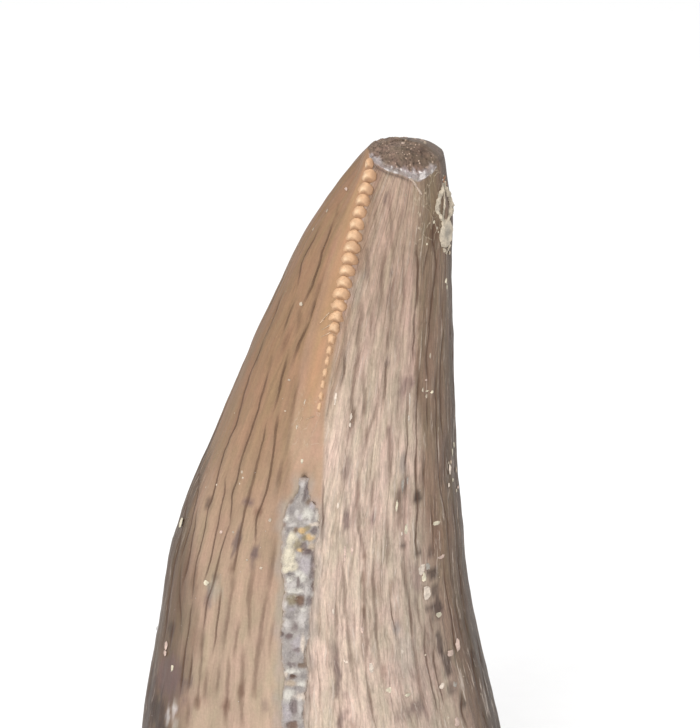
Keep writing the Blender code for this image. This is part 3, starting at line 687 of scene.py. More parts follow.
def wall_frame(angle, height):
    """Points on the plain wall, and the outward directions there."""
    angle, height = np.broadcast_arrays(np.asarray(angle, float), np.asarray(height, float))
    middle_x, middle_y, half_width, half_depth = (
        along(CROWN_SECTIONS, height, c) for c in (MIDDLE_X, MIDDLE_Y, HALF_WIDTH, HALF_DEPTH))
    a = np.radians(angle)
    outward = np.stack([np.sin(a) / half_width, -np.cos(a) / half_depth, np.zeros_like(a)], -1)
    outward /= np.linalg.norm(outward, axis=-1, keepdims=True)
    oval = np.stack([middle_x + half_width * np.sin(a), middle_y - half_depth * np.cos(a), height], -1)
    return oval + outward * relief(angle, height)[..., None], outward


def wall(angle, height, lift=0.0):
    """Points this far outside the plain wall."""
    points, outward = wall_frame(angle, height)
    return points + outward * np.asarray(lift)[..., None]


def seen(points):
    """Where points show in the picture, in pixels across and down."""
    tilt = math.radians(CAMERA_ELEVATION)
    offset = np.asarray(points) - CAMERA_TARGET
    nearer = offset @ (0.0, -math.cos(tilt), math.sin(tilt))
    rise = offset @ (0.0, math.sin(tilt), math.cos(tilt))
    scale = PIXELS_PER_MM * CAMERA_DISTANCE / (CAMERA_DISTANCE - nearer)
    return PICTURE_WIDTH / 2 + scale * offset[..., 0], PICTURE_HEIGHT / 2 - scale * rise


def spot_on_wall(across, down):
    """Heights and angles of the wall's points that show at these pixels."""
    across, down = np.atleast_1d(np.asarray(across, float)), np.atleast_1d(np.asarray(down, float))
    angle, height = (grid.ravel() for grid in np.meshgrid(np.arange(-88.0, 89.0), np.arange(0.5, 36.0, 0.5)))
    x, y = seen(wall(angle, height))
    nearest = np.array([np.argmin((x - a) ** 2 + (y - d) ** 2) for a, d in zip(across, down)])
    angle, height = angle[nearest], height[nearest]
    for _ in range(5):
        x, y = seen(wall(angle, height))
        x_turned, y_turned = seen(wall(angle + 0.1, height))
        x_raised, y_raised = seen(wall(angle, height + 0.02))
        by_angle = (x_turned - x) / 0.1, (y_turned - y) / 0.1
        by_height = (x_raised - x) / 0.02, (y_raised - y) / 0.02
        cross = by_angle[0] * by_height[1] - by_angle[1] * by_height[0]
        cross = np.where(np.abs(cross) < 1e-6, 1e-6, cross)
        dx, dy = across - x, down - y
        angle = angle + np.clip((dx * by_height[1] - dy * by_height[0]) / cross, -0.7, 0.7)
        height = height + np.clip((dy * by_angle[0] - dx * by_angle[1]) / cross, -0.3, 0.3)
        angle = np.clip(angle, -89.0, 89.0)
    return height, angle


def skin_place(angle, height, stretch=1.0):
    """Places on a cylinder as high as the crown, where patterns run round without a seam."""
    a = np.radians(angle)
    return np.stack([SKIN_RADIUS * np.cos(a), SKIN_RADIUS * np.sin(a), height * stretch], -1)


def rough(places, scale, seed=0.0):
    """Smooth noise between about -1 and 1 at these places."""
    shifted = np.asarray(places) * scale + seed
    flat = shifted.reshape(-1, 3).tolist()
    return np.array([noise.noise(p) for p in flat]).reshape(shifted.shape[:-1])


def paint(mesh, name, values):
    """Keeps a number, a place or a colour for each point of the mesh."""
    values = np.asarray(values, np.float32)
    kind, field = "FLOAT", "value"
    if values.ndim == 2 and name == "tint":
        kind, field = "FLOAT_COLOR", "color"
        values = np.concatenate([values, np.ones((len(values), 1), np.float32)], axis=1)
    elif values.ndim == 2:
        kind, field = "FLOAT_VECTOR", "vector"
    mesh.attributes.new(name, kind, "POINT").data.foreach_set(field, values.ravel())


def laid_grid(columns, rows, place, thick=False):
    """A grid whose points go where place says, which gives their attributes too.

    A thick grid is a closed slab: its points are on layer 0 at the back or 1 at the front.
    """
    bm = bmesh.new()
    bmesh.ops.create_grid(bm, x_segments=columns, y_segments=rows, size=0.5)
    if thick:
        doubled = bmesh.ops.extrude_face_region(bm, geom=bm.faces[:])["geom"]
        raised = [item for item in doubled if isinstance(item, bmesh.types.BMVert)]
        bmesh.ops.translate(bm, verts=raised, vec=(0.0, 0.0, 1.0))
    mesh = bpy.data.meshes.new("laid_grid")
    bm.to_mesh(mesh)
    bm.free()
    spots = np.empty(3 * len(mesh.vertices), np.float32)
    mesh.vertices.foreach_get("co", spots)
    spots = spots.reshape(-1, 3)
    column, row = np.rint((spots[:, 0] + 0.5) * columns), np.rint((spots[:, 1] + 0.5) * rows)
    points, values = place(column, row, np.rint(spots[:, 2]))
    mesh.vertices.foreach_set("co", np.asarray(points, np.float32).ravel())
    for name, value in values.items():
        paint(mesh, name, value)
    bm = bmesh.new()
    bm.from_mesh(mesh)
    bpy.data.meshes.remove(mesh)
    return bm


def close_seam(bm, distance=2e-5):
    """Joins the rolled sides of a grid and fills its open ends."""
    bmesh.ops.remove_doubles(bm, verts=bm.verts, dist=distance)
    bmesh.ops.holes_fill(bm, edges=[edge for edge in bm.edges if edge.is_boundary], sides=0)


def finish_piece(name, bm, material, sharp=60.0):
    """Makes the piece an object in metres, over the frame's origin, riding on the tooth."""
    bm.normal_update()
    bmesh.ops.recalc_face_normals(bm, faces=bm.faces)
    bmesh.ops.translate(bm, verts=bm.verts, vec=CENTRE_SHIFT)
    bmesh.ops.scale(bm, vec=(MM, MM, MM), verts=bm.verts)
    mesh = bpy.data.meshes.new(name)
    bm.to_mesh(mesh)
    bm.free()
    mesh.shade_smooth()
    mesh.set_sharp_from_angle(angle=math.radians(sharp))
    mesh.materials.append(material)
    piece = bpy.data.objects.new(name, mesh)
    bpy.context.scene.collection.objects.link(piece)
    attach(piece, "root")
    return piece


def centre_shift():
    """How far the frame's tooth stands from the place that the sections give it."""
    low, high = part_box("tooth")
    angles, heights = np.meshgrid(np.linspace(-180.0, 175.0, 72), np.linspace(0.9, 34.0, 60))
    points = wall(angles, heights).reshape(-1, 3)
    shift = [(low[k] + high[k]) / 2 / MM - (points[:, k].min() + points[:, k].max()) / 2 for k in (0, 1)]
    return Vector((shift[0], shift[1], 0.0))


CENTRE_SHIFT = centre_shift()


class Finish:
    """A new material, and short ways to add nodes to it."""

    def __init__(self, name):
        self.material = bpy.data.materials.new(name)
        self.material.use_nodes = True
        self.tree = self.material.node_tree
        self.shader = self.tree.nodes["Principled BSDF"]

    def put(self, socket, value):
        if isinstance(value, bpy.types.NodeSocket):
            self.tree.links.new(value, socket)
        else:
            socket.default_value = value

    def add(self, kind, inputs, **settings):
        node = self.tree.nodes.new(kind)
        for name, value in settings.items():
            setattr(node, name, value)
        for socket, value in inputs.items():
            self.put(node.inputs[socket], value)
        return node

    def attribute(self, name, output="Fac"):
        return self.add("ShaderNodeAttribute", {}, attribute_name=name).outputs[output]

    def millimetres(self):
        """Object coordinates in mm."""
        place = self.tree.nodes.new("ShaderNodeTexCoord").outputs["Object"]
        return self.stretch(place, (1 / MM, 1 / MM, 1 / MM))

    def stretch(self, place, scale):
        return self.add("ShaderNodeMapping", {"Vector": place, "Scale": scale}).outputs["Vector"]

    def tall(self, place, share):
        """Places whose patterns are drawn out along the tooth."""
        return self.stretch(place, (1.0, 1.0, share))

    def noise(self, place, scale, detail=4.0, roughness=0.55):
        inputs = {"Vector": place, "Scale": scale, "Detail": detail, "Roughness": roughness}
        return self.add("ShaderNodeTexNoise", inputs).outputs["Fac"]

    def cells(self, place, scale):
        """Distance from the middle of the nearest cell."""
        return self.add("ShaderNodeTexVoronoi", {"Vector": place, "Scale": scale}).outputs["Distance"]

    def warp(self, place, scale, amount):
        """Places pushed about by smooth noise."""
        inputs = {"Vector": place, "Scale": scale, "Detail": 2.0}
        push = self.add("ShaderNodeTexNoise", inputs).outputs["Color"]
        inputs = {0: push, 1: (amount, amount, amount), 2: place}
        return self.add("ShaderNodeVectorMath", inputs, operation="MULTIPLY_ADD").outputs[0]

    def lines(self, place, scale, half_width):
        """Lines between cells, 1 in their middle and 0 outside them."""
        inputs = {"Vector": place, "Scale": scale}
        gap = self.add("ShaderNodeTexVoronoi", inputs, feature="DISTANCE_TO_EDGE").outputs["Distance"]
        return self.span(gap, 0.0, half_width * scale, 1.0, 0.0)

    def span(self, value, low, high, start=0.0, end=1.0):
        inputs = {0: value, 1: low, 2: high, 3: start, 4: end}
        return self.add("ShaderNodeMapRange", inputs).outputs[0]

    def math(self, operation, a, b=0.0):
        return self.add("ShaderNodeMath", {0: a, 1: b}, operation=operation).outputs[0]

    def times(self, a, b):
        return self.math("MULTIPLY", a, b)

    def mix(self, share, a, b, blend_type="MIX"):
        inputs = {0: share, 6: a, 7: b}
        node = self.add("ShaderNodeMix", inputs, data_type="RGBA", blend_type=blend_type)
        return node.outputs[2]

    def shade(self, colour, share, dark, light, strength=1.0):
        """Multiplies a colour by a grey between dark and light."""
        grey = self.span(share, 0.0, 1.0, dark, light)
        return self.mix(strength, colour, self.add(
            "ShaderNodeCombineColor", {0: grey, 1: grey, 2: grey}).outputs[0], "MULTIPLY")

    def raise_by(self, *heights):
        """Adds up (height, amount) pairs."""
        total = 0.0
        for height, amount in heights:
            total = self.math("ADD", total, self.times(height, amount))
        return total

    def close(self, colour, roughness, height, depth):
        """Wires up the shader: depth is the relief of a height of 1, in mm."""
        self.put(self.shader.inputs["Base Color"], colour)
        self.put(self.shader.inputs["Roughness"], roughness)
        relief_node = self.add("ShaderNodeBump", {"Height": height, "Distance": depth * MM})
        self.put(self.shader.inputs["Normal"], relief_node.outputs[0])
        return self.material


def rgba(colour):
    """The colour with full alpha."""
    return (*colour, 1.0)


def enamel_finish(look):
    """Brown fossil enamel: streaks, hairlines, cracks, stains, chalk, and granular dentine, with painted
    shade beside the cracks and painted highlights in the rim's chalk.
    """
    f = Finish("fossil_enamel")
    skin = f.attribute("skin", "Vector")
    tint = f.attribute("tint", "Color")
    satin = f.attribute("satin")
    chalk, grain = f.attribute("chalk"), f.attribute("grain")
    veined = f.math("SUBTRACT", 1.0, f.math("MAXIMUM", satin, grain))

    fibre = f.times(f.attribute("fibre"), veined)
    bent = f.warp(skin, 0.60, 0.45)
    wavy = f.warp(skin, 0.80, 0.34)
    streaks = f.noise(f.tall(bent, 0.11), 1.4, 5.0, 0.60)
    strands = f.noise(f.tall(bent, 0.07), 5.6, 6.0, 0.68)
    ribs = f.noise(f.tall(wavy, 0.055), 2.8, 4.0, 0.62)
    dry = f.noise(f.tall(f.millimetres(), 0.14), 7.5, 6.0, 0.74)
    mottle = f.noise(f.tall(skin, 0.5), 0.9, 4.0, 0.6)
    dust = f.noise(f.millimetres(), 9.0, 4.0, 0.65)
    dashes = f.noise(f.tall(wavy, 0.085), 5.4, 4.0, 0.66)
    speckle = f.noise(skin, 3.4, 5.0, 0.68)

    fading = f.noise(f.tall(skin, 0.45), 0.75, 3.0, 0.6)
    coarse = f.lines(f.tall(bent, 0.06), 0.80, 0.040)
    coarse = f.times(coarse, f.span(fading, 0.42, 0.58, 0.0, 1.0))
    coarse = f.times(coarse, f.times(veined, f.span(fibre, 0.0, 1.0, 0.35, 1.0)))
    fine = f.lines(f.tall(wavy, 0.075), 1.9, 0.040)
    fine = f.times(fine, f.span(fading, 0.60, 0.44, 0.0, 1.0))
    fine = f.times(fine, f.times(veined, f.span(fibre, 0.0, 1.0, 0.12, 1.0)))

    colour = f.shade(tint, f.span(streaks, 0.32, 0.68), 0.91, 1.08, f.span(satin, 0.0, 1.0, 1.0, 0.5))
    calm = f.span(fibre, 0.0, 1.0, 0.50, 1.0)
    colour = f.shade(colour, f.span(strands, 0.32, 0.68), 0.82, 1.14, f.times(veined, calm))
    mauve = f.times(f.span(ribs, 0.49, 0.33), f.times(fibre, 0.55))
    colour = f.mix(mauve, colour, f.mix(1.0, colour, MAUVE_SHARE, "MULTIPLY"))
    colour = f.shade(colour, f.span(ribs, 0.45, 0.68), 1.0, 1.13, fibre)
    colour = f.shade(colour, f.span(dry, 0.36, 0.64), 0.78, 1.19, f.span(fibre, 0.0, 1.0, 0.25, 1.0))
    warm = f.mix(f.span(mottle, 0.36, 0.64), COOL_SHARE, WARM_SHARE)
    colour = f.mix(1.0, colour, warm, "MULTIPLY")
    colour = f.shade(colour, f.span(dust, 0.32, 0.68), 0.93, 1.06)
    dark_dash = f.times(f.span(dashes, 0.58, 0.68), f.span(fibre, 0.0, 1.0, 0.0, 0.24))
    dark_dash = f.times(dark_dash, veined)
    colour = f.mix(dark_dash, colour, rgba(DARK_DASH))
    pale_dash = f.times(f.span(dashes, 0.42, 0.34), f.span(fibre, 0.0, 1.0, 0.0, 0.60))
    pale_dash = f.times(pale_dash, veined)
    colour = f.mix(pale_dash, colour, rgba(PALE_DASH))
    colour = f.mix(f.times(coarse, 0.34), colour, rgba(look.crack))
    colour = f.mix(f.times(fine, 0.30), colour, rgba(look.crack))

    scratch = f.attribute("scratch")
    tangle = f.lines(f.warp(f.tall(f.millimetres(), 0.5), 1.6, 0.9), 2.0, 0.022)
    tangle = f.times(tangle, f.times(scratch, f.span(speckle, 0.44, 0.58)))
    colour = f.mix(f.times(tangle, 0.85), colour, rgba(SCRATCH))

    pits = f.span(f.cells(skin, 5.0), 0.08, 0.42)
    crystals = f.span(f.cells(skin, 4.4), 0.08, 0.26, 1.0, 0.0)
    granular = f.shade(colour, pits, 0.62, 1.10)
    granular = f.shade(granular, f.span(speckle, 0.38, 0.62), 0.62, 1.18)
    granular = f.mix(f.times(crystals, 0.80), granular, rgba(CRYSTAL))
    colour = f.mix(grain, colour, granular)

    waver = f.noise(f.tall(skin, 0.5), 3.0, 3.0, 0.6)
    swell = f.span(f.noise(f.tall(skin, 0.4), 1.2, 3.0, 0.6), 0.36, 0.64, 1.30, 0.70)
    groove, shade_halo = 0.0, 0.0
    for name in CRACK_LAYERS:
        away, cut = f.attribute("away_" + name), f.attribute("cut_" + name)
        # Painted shade on the rib slopes to each side of the crack.
        beside = f.span(f.math("ABSOLUTE", away), 0.8, 6.5, 1.0, 0.0)
        shade_halo = f.math("MAXIMUM", shade_halo, f.times(beside, cut))
        gap = f.math("ADD", away, f.span(waver, 0.3, 0.7, -0.5, 0.5))
        gap = f.times(f.math("ABSOLUTE", gap), swell)
        line = f.span(gap, 0.35, 1.55, 1.0, 0.0)
        groove = f.math("MAXIMUM", groove, f.times(line, cut))
    groove = f.times(groove, f.span(f.noise(skin, 0.9, 3.0), 0.34, 0.54, 0.78, 1.0))
    # Painted shade beside the cracks.
    colour = f.shade(colour, shade_halo, 1.0, 0.87)
    colour = f.mix(f.times(groove, 0.84), colour, rgba(look.crack))
    ragged = f.times(f.math("SUBTRACT", speckle, 0.5), 1.5)
    speck = f.span(f.cells(skin, 1.6), 0.02, 0.035, 1.0, 0.0)
    # Pale chalk on the rim, drawn also as painted highlights on the chipped enamel; loose specks of chalk
    # dust elsewhere.
    rim_chalk_and_highlight = f.math("ADD", chalk, f.times(ragged, f.span(chalk, 0.0, 0.2)))
    rim_chalk_and_highlight = f.span(rim_chalk_and_highlight, 0.30, 0.60)
    chalky = f.math("MAXIMUM", rim_chalk_and_highlight, f.times(speck, f.times(veined, 0.8)))
    colour = f.mix(chalky, colour, rgba(CHALK_AND_HIGHLIGHT))

    roughness = f.span(streaks, 0.3, 0.7, 0.44, 0.56)
    roughness = f.math("ADD", roughness, f.times(f.math("MAXIMUM", grain, groove), 0.14))
    roughness = f.math("SUBTRACT", roughness, f.times(satin, 0.06))
    height = f.raise_by(
        (f.times(strands, f.times(veined, calm)), 0.55),
        (f.times(streaks, veined), 0.5), (f.times(ribs, fibre), 1.5),
        (f.times(dry, fibre), 0.8), (tangle, 0.7),
        (coarse, -0.5), (fine, -0.4), (dust, 0.16), (groove, -1.0), (dark_dash, -0.5), (pale_dash, 0.5),
        (f.times(pits, grain), 0.9), (chalky, 0.5))
    f.shader.inputs["Specular IOR Level"].default_value = 0.26
    return f.close(colour, roughness, height, 0.035)


def denticle_finish(look):
    """Peach enamel with a waxy surface, darker in the creases as painted shade, with a painted highlight on
    each denticle that also shows pale wear.
    """
    f = Finish("denticle_enamel")
    place = f.millimetres()
    crease, wear_and_highlight = f.attribute("crease"), f.attribute("wear_and_highlight")
    cloud, dust = f.noise(place, 2.4, 4.0), f.noise(place, 9.0, 4.0, 0.70)
    colour = f.shade(rgba(look.colour), f.span(cloud, 0.35, 0.65), 0.84, 1.08)
    colour = f.shade(colour, f.span(dust, 0.35, 0.65), 0.88, 1.08)
    # Painted highlight on each denticle, and pale wear on the worn ones.
    pale = f.times(wear_and_highlight, f.span(f.noise(place, 3.2, 4.0, 0.6), 0.36, 0.60, 0.2, 1.0))
    colour = f.mix(pale, colour, rgba(BEAD_GLINT))
    # Painted shade in the creases.
    colour = f.mix(f.times(crease, 0.85), colour, rgba(look.crease))
    roughness = f.span(cloud, 0.35, 0.65, 0.38, 0.52)
    f.shader.inputs["Specular IOR Level"].default_value = 0.35
    return f.close(colour, roughness, f.raise_by((dust, 0.8), (cloud, 1.0)), 0.04)


def sediment_finish():
    """Matt grey sediment with grains of other colours."""
    f = Finish("furrow_sediment")
    place = f.millimetres()
    tint = f.attribute("tint", "Color")
    cloud, dust = f.noise(place, 2.2, 5.0, 0.6), f.noise(place, 11.0, 4.0, 0.7)
    grit = f.span(f.cells(place, 5.0), 0.05, 0.45)
    colour = f.shade(tint, f.span(cloud, 0.32, 0.68), 0.86, 1.08)
    colour = f.shade(colour, f.span(dust, 0.32, 0.68), 0.84, 1.10)
    patches = f.noise(place, 3.4, 4.0, 0.6)
    colour = f.mix(f.span(patches, 0.56, 0.72, 0.0, 0.30), colour, rgba(TINTS["purple"]))
    colour = f.mix(f.span(patches, 0.44, 0.32, 0.0, 0.30), colour, rgba(TINTS["snow"]))
    roughness = f.span(cloud, 0.3, 0.7, 0.62, 0.88)
    return f.close(colour, roughness, f.raise_by((grit, 0.7), (dust, 0.5), (cloud, 0.9)), 0.06)


def mineral_finish(name):
    """Matt mineral in the piece's own colours, cloudy and dusty."""
    f = Finish(name)
    place = f.millimetres()
    tint = f.attribute("tint", "Color")
    cloud, dust = f.noise(place, 2.6, 5.0, 0.6), f.noise(place, 13.0, 4.0, 0.7)
    colour = f.shade(tint, f.span(cloud, 0.38, 0.62), 0.66, 1.14)
    colour = f.shade(colour, f.span(dust, 0.34, 0.66), 0.80, 1.10)
    return f.close(colour, f.span(dust, 0.3, 0.7, 0.6, 0.8), f.raise_by((cloud, 0.8), (dust, 0.6)), 0.06)


def floor_finish(look):
    """Near white paper with a faint tooth."""
    f = Finish("studio_floor")
    place = f.millimetres()
    fibre = f.noise(place, 0.6, 5.0, 0.6)
    colour = f.shade(rgba(look.floor), f.span(fibre, 0.3, 0.7), 0.985, 1.0)
    return f.close(colour, 0.9, fibre, 0.02)


def crack_lines():
    """Every crack as (heights, angles, half width, strength), its heights rising."""
    lines = []
    groups = ((BOLD_CRACKS, "bold"), (CRACKS, "plain"), (SOFT_CRACKS, "soft"), (FAINT_CRACKS, "faint"))
    for cracks, kind in groups:
        for points in cracks:
            heights, angles = spot_on_wall(*zip(*points))
            order = np.argsort(heights)
            lines.append((heights[order], angles[order], CRACK_HALF_WIDTHS[kind], CRACK_STRENGTHS[kind]))
    return lines + hidden_crack_lines()


def hidden_crack_lines():
    """Cracks of the same kind on the sides away from the camera and round the foot."""
    pick = random.Random(HIDDEN_CRACK_SEED)
    lines = []
    for number in range(HIDDEN_CRACKS + FOOT_CRACKS):
        at_foot = number >= HIDDEN_CRACKS
        angle = pick.uniform(-180, 180) if at_foot else pick.uniform(86, 274)
        low = pick.uniform(0.2, 2.5) if at_foot else pick.uniform(1.0, 20.0)
        high = low + (pick.uniform(3.0, 7.5) if at_foot else pick.uniform(5.0, 15.0))
        heights = np.linspace(low, min(high, 33.5), 6)
        wander = np.cumsum([pick.uniform(-1.6, 1.6) for _ in heights])
        kind = pick.choice(("bold", "plain", "soft", "faint"))
        lines.append((list(heights), list(angle + wander), 0.058, CRACK_STRENGTHS[kind]))
    return lines


def clearance(line, other):
    """How close two crack lines come to each other."""
    low, high = max(line[0][0], other[0][0]) - CRACK_REACH, min(line[0][-1], other[0][-1]) + CRACK_REACH
    if low > high:
        return math.inf
    heights = np.linspace(low, high, 14)
    apart = turn(np.interp(heights, *line[:2]) - np.interp(heights, *other[:2]))
    return float((np.radians(np.abs(apart)) * mean_radius(heights)).min())


def crack_layers():
    """The crack lines sorted into layers, so that no two in a layer come close."""
    layers = [[] for _ in CRACK_LAYERS]
    for line in crack_lines():
        room = [min([clearance(line, other) for other in layer], default=math.inf) for layer in layers]
        free = [i for i, clear in enumerate(room) if clear > CRACK_CLEARANCE]
        layers[free[0] if free else int(np.argmax(room))].append(line)
    return layers


def crack_values(angle, height):
    """For each layer, how many half widths away its nearest crack is, and how deep that is.

    The valley is a wide and shallow dip along every crack, for the mesh itself.
    """
    radius = mean_radius(height)
    values, valley = {}, np.zeros_like(angle)
    for name, layer in zip(CRACK_LAYERS, LAYERED_CRACKS):
        away, cut, nearest = np.full_like(angle, 8.0), np.zeros_like(angle), np.full_like(angle, 9.0)
        for heights, angles, half_width, strength in layer:
            near = np.flatnonzero((height > heights[0] - CRACK_REACH) & (height < heights[-1] + CRACK_REACH))
            across = np.radians(turn(angle[near] - np.interp(height[near], heights, angles))) * radius[near]
            closer = np.abs(across) < nearest[near]
            near, across = near[closer], across[closer]
            z = height[near]
            fade = smooth_step(heights[0] - 0.5, heights[0] + 0.7, z)
            fade *= smooth_step(heights[-1] + 0.5, heights[-1] - 0.7, z)
            nearest[near] = np.abs(across)
            away[near] = np.clip(across / half_width, -8.0, 8.0)
            cut[near] = strength * fade * smooth_step(0.45, 0.32, np.abs(across))
        values["away_" + name], values["cut_" + name] = away, cut
        valley = np.maximum(valley, cut * bump(nearest, 0.13))
    return values, valley


def marked(tint, angle, height, places):
    """The colours with the marks laid over them, soft and ragged."""
    ragged = 1.0 + 0.50 * rough(places, 3.0, 6.0) + 0.35 * rough(places, (8.0, 8.0, 4.0), 7.0)
    radius = mean_radius(height)
    for (_, _, half_across, half_down, strength, colour), spot_height, spot_angle in PLACED_MARKS:
        half_width, half_height = half_across / PIXELS_PER_MM, half_down / PIXELS_PER_MM
        half_width /= max(0.35, math.cos(math.radians(spot_angle)))
        near = np.flatnonzero(np.abs(height - spot_height) < half_height * 2.4)
        sideways = np.radians(turn(angle[near] - spot_angle)) * radius[near]
        away = np.hypot(sideways / half_width, (height[near] - spot_height) / half_height) * ragged[near]
        share = 0.95 * strength * smooth_step(1.5, 0.5, away)
        tint[near] = tint_blend(tint[near], TINTS[colour], share)
    return tint


def band_field(angle, height):
    """1 in the smooth orange band along the front edge, 0 outside it."""
    left, right = along(BAND_LEFT, height), along(BAND_RIGHT, height)
    inside = smooth_step(left - 2.2, left + 2.2, angle) * smooth_step(right + 0.9, right - 0.9, angle)
    return inside * smooth_step(BAND_LOW - 0.5, BAND_LOW + 0.9, height)


def fibre_field(angle, height):
    """1 on the finely fibrous tongue face and flank, 0 on the left face."""
    start = along(FRONT_EDGE, height) + 3.0
    face = smooth_step(start - 2.0, start + 2.0, angle) * smooth_step(52.0, 44.0, angle)
    outline = between(-64.0, -74.0, -100.0, -120.0, angle) * smooth_step(24.0, 20.0, height)
    flank = between(46.0, 56.0, 100.0, 150.0, angle)
    behind = smooth_step(120.0, 140.0, angle) + smooth_step(-116.0, -132.0, angle)
    face = face * blend(1.0, 0.75, smooth_step(20.0, 27.0, height))
    return face + 0.6 * outline + 0.95 * flank + 0.5 * behind


def scratch_field(angle, height):
    """1 where fine pale scratches tangle under the rim, and less on the band's foot."""
    under_rim = between(12, 32, 54, 66, angle) * smooth_step(30.6, 32.0, height)
    on_band = band_field(angle, height) * bump(height - 23.8, 1.4)
    return under_rim + 0.5 * on_band


def furrow_field(angle, height):
    """1 in the furrow under the sediment, 0 outside it."""
    radius = mean_radius(height)
    left = np.radians(angle - along(SEDIMENT_LEFT, height)) * radius
    right = np.radians(along(SEDIMENT_RIGHT, height) - angle) * radius
    inside = smooth_step(0.02, 0.20, left) * smooth_step(0.02, 0.20, right)
    return inside * smooth_step(FURROW_LOW - 0.2, FURROW_LOW + 0.3, height) * smooth_step(
        FURROW_HIGH + 0.15, FURROW_HIGH - 0.2, height)


def side_by_height(side):
    """A side given in pixels as (height, angle) rows that rise."""
    heights, angles = spot_on_wall(*zip(*side))
    return sorted(zip(heights.tolist(), angles.tolist()))


def placed(spots):
    """Each spot whose row starts with its pixels, with its height and angle on the wall."""
    heights, angles = spot_on_wall([spot[0] for spot in spots], [spot[1] for spot in spots])
    return tuple(zip(spots, heights.tolist(), angles.tolist()))


SEDIMENT_LEFT, SEDIMENT_RIGHT = side_by_height(SEDIMENT_LEFT_SIDE), side_by_height(SEDIMENT_RIGHT_SIDE)
PLACED_GRAINS, PLACED_MARKS = placed(SEDIMENT_GRAINS), placed(MARKS)
LAYERED_CRACKS = crack_layers()


def crown_tint(angle, height, places, look):
    """The colour of the wall by place, before its streaks and cracks."""
    soft = rough(places, (0.5, 0.5, 0.28), 21.0)
    left = tint_blend(look.left_foot, look.left_top, smooth_step(11.0, 27.0, height + soft))
    # Towards the left outline the face takes the outline colour: partly its own darker tone and cracks,
    # partly painted shade.
    shade_start = along(LEFT_SHADE, height) + 3.0 * soft + 4.0 * rough(places, (1.4, 1.4, 0.35), 22.0)
    left = tint_blend(left, look.left_edge, smooth_step(shade_start + 5.0, shade_start - 13.0, angle))
    # Painted shade: two more darkenings right at the left outline, where the wall rounds away.
    left = left * blend(1.0, 0.84, smooth_step(-50, -70, angle) * smooth_step(18, 22, height))[:, None]
    outline = between(-62, -84, -105, -130, angle)
    left = left * blend(1.0, blend(0.62, 0.88, smooth_step(17, 21, height)), outline)[:, None]
    face = tint_blend(look.face_foot, look.face_top, smooth_step(20.0, 33.0, height + soft))
    # Painted shade: the tongue face darkens where it rounds towards the flank, high up and low down.
    by_flank = bump(angle - 33.0, 9.0) * between(23.0, 25.0, 30.0, 32.0, height)
    face = face * blend(1.0, 0.86, by_flank)[:, None]
    low_shade = bump(angle - 39.0 + 3.0 * soft, 13.0) * smooth_step(24.0, 15.0, height)
    face = face * blend(1.0, 0.74, low_shade)[:, None]
    flank = tint_blend(np.asarray(look.flank) * 0.78, look.flank, smooth_step(10.0, 20.0, height))
    band = tint_blend(look.band_foot, look.band_top, smooth_step(22.5, 32.5, height))
    from_beads = arc(angle, along(FRONT_EDGE, height) + 1.5, height)
    beaded = between(23.0, 26.0, 35.2, 35.9, height)
    band = tint_blend(band, BESIDE_BEADS, bump(from_beads + 0.35, 0.55) * beaded * 0.9)
    blotches = rough(places, (1.2, 1.2, 0.6), 51.0) + 0.5 * rough(places, (3.0, 3.0, 1.5), 52.0)
    band = band * (1.0 + 0.10 * blotches)[:, None]
    back = tint_blend(np.asarray(look.back) * 1.16, look.back, smooth_step(8.0, 22.0, height + 2 * soft))
    stains = rough(places, (0.28, 0.28, 0.12), 61.0) + 0.5 * rough(places, (0.9, 0.9, 0.3), 62.0)
    back = tint_blend(back, np.asarray(look.flank) * 0.92, smooth_step(-0.05, 0.55, stains) * 0.8)
    back = tint_blend(back, look.face_foot, smooth_step(0.10, 0.60, -stains) * 0.35)

    front_side = along(FRONT_EDGE, height) + 3.0
    tint = tint_blend(left, face, smooth_step(front_side - 1.5, front_side + 1.5, angle))
    flank_edge = along(FLANK_EDGE, height) + 3.0 * soft
    soft_edge = blend(13.0, 2.5, smooth_step(16.0, 24.0, height)) + 9.0 * smooth_step(29.0, 32.0, height)
    tint = tint_blend(tint, flank, smooth_step(flank_edge - soft_edge, flank_edge + soft_edge, angle))
    # Painted shade: the flank darkens strongly as it rounds away towards the right outline.
    tint = tint * blend(1.0, 0.42, between(56, 80, 96, 120, angle))[:, None]
    tint = tint_blend(tint, back, smooth_step(86.0, 112.0, angle))
    tint = tint_blend(tint, back, smooth_step(-88.0, -118.0, angle))
    tint = tint_blend(tint, band, band_field(angle, height))
    # Painted shadow on the band just right of the front denticles.
    shade_halo = bump(from_beads - 0.42, 0.20 + 0.10 * rough(places, 2.0, 53.0)) * beaded
    tint = tint_blend(tint, BEAD_SHADOW, shade_halo * 0.55)

    scratched = smooth_step(18, 42, angle + 8.0 * soft) * smooth_step(62, 50, angle)
    scratched = scratched * smooth_step(31.2, 32.4, height)
    tint = tint_blend(tint, SCRATCHED, scratched * (0.80 + 0.20 * soft))
    shoulder = between(54, 66, 96, 120, angle) * smooth_step(32.6, 34.0, height)
    tint = tint_blend(tint, SHOULDER, shoulder)
    tint = marked(tint, angle, height, places)
    to_left = np.radians(along(SEDIMENT_LEFT, height) - angle)
    to_right = np.radians(angle - along(SEDIMENT_RIGHT, height))
    beside = np.maximum(to_left, to_right) * mean_radius(height)
    smear = smooth_step(0.45, 0.0, beside + 0.25 * rough(places, 1.8, 40.0))
    smear = smear * between(2.6, 3.4, 21.2, 21.9, height)
    return tint_blend(tint, SMEAR, smear * 0.65)


def rim_reach(angle):
    """How far the chipped pale enamel reaches below the rim, in mm, by angle."""
    return 0.02 + 0.08 * bump(angle + 40.0, 9.0) + 0.11 * bump(angle - 25.0, 8.0) + 0.03 * bump(
        angle - 48.0, 5.0)


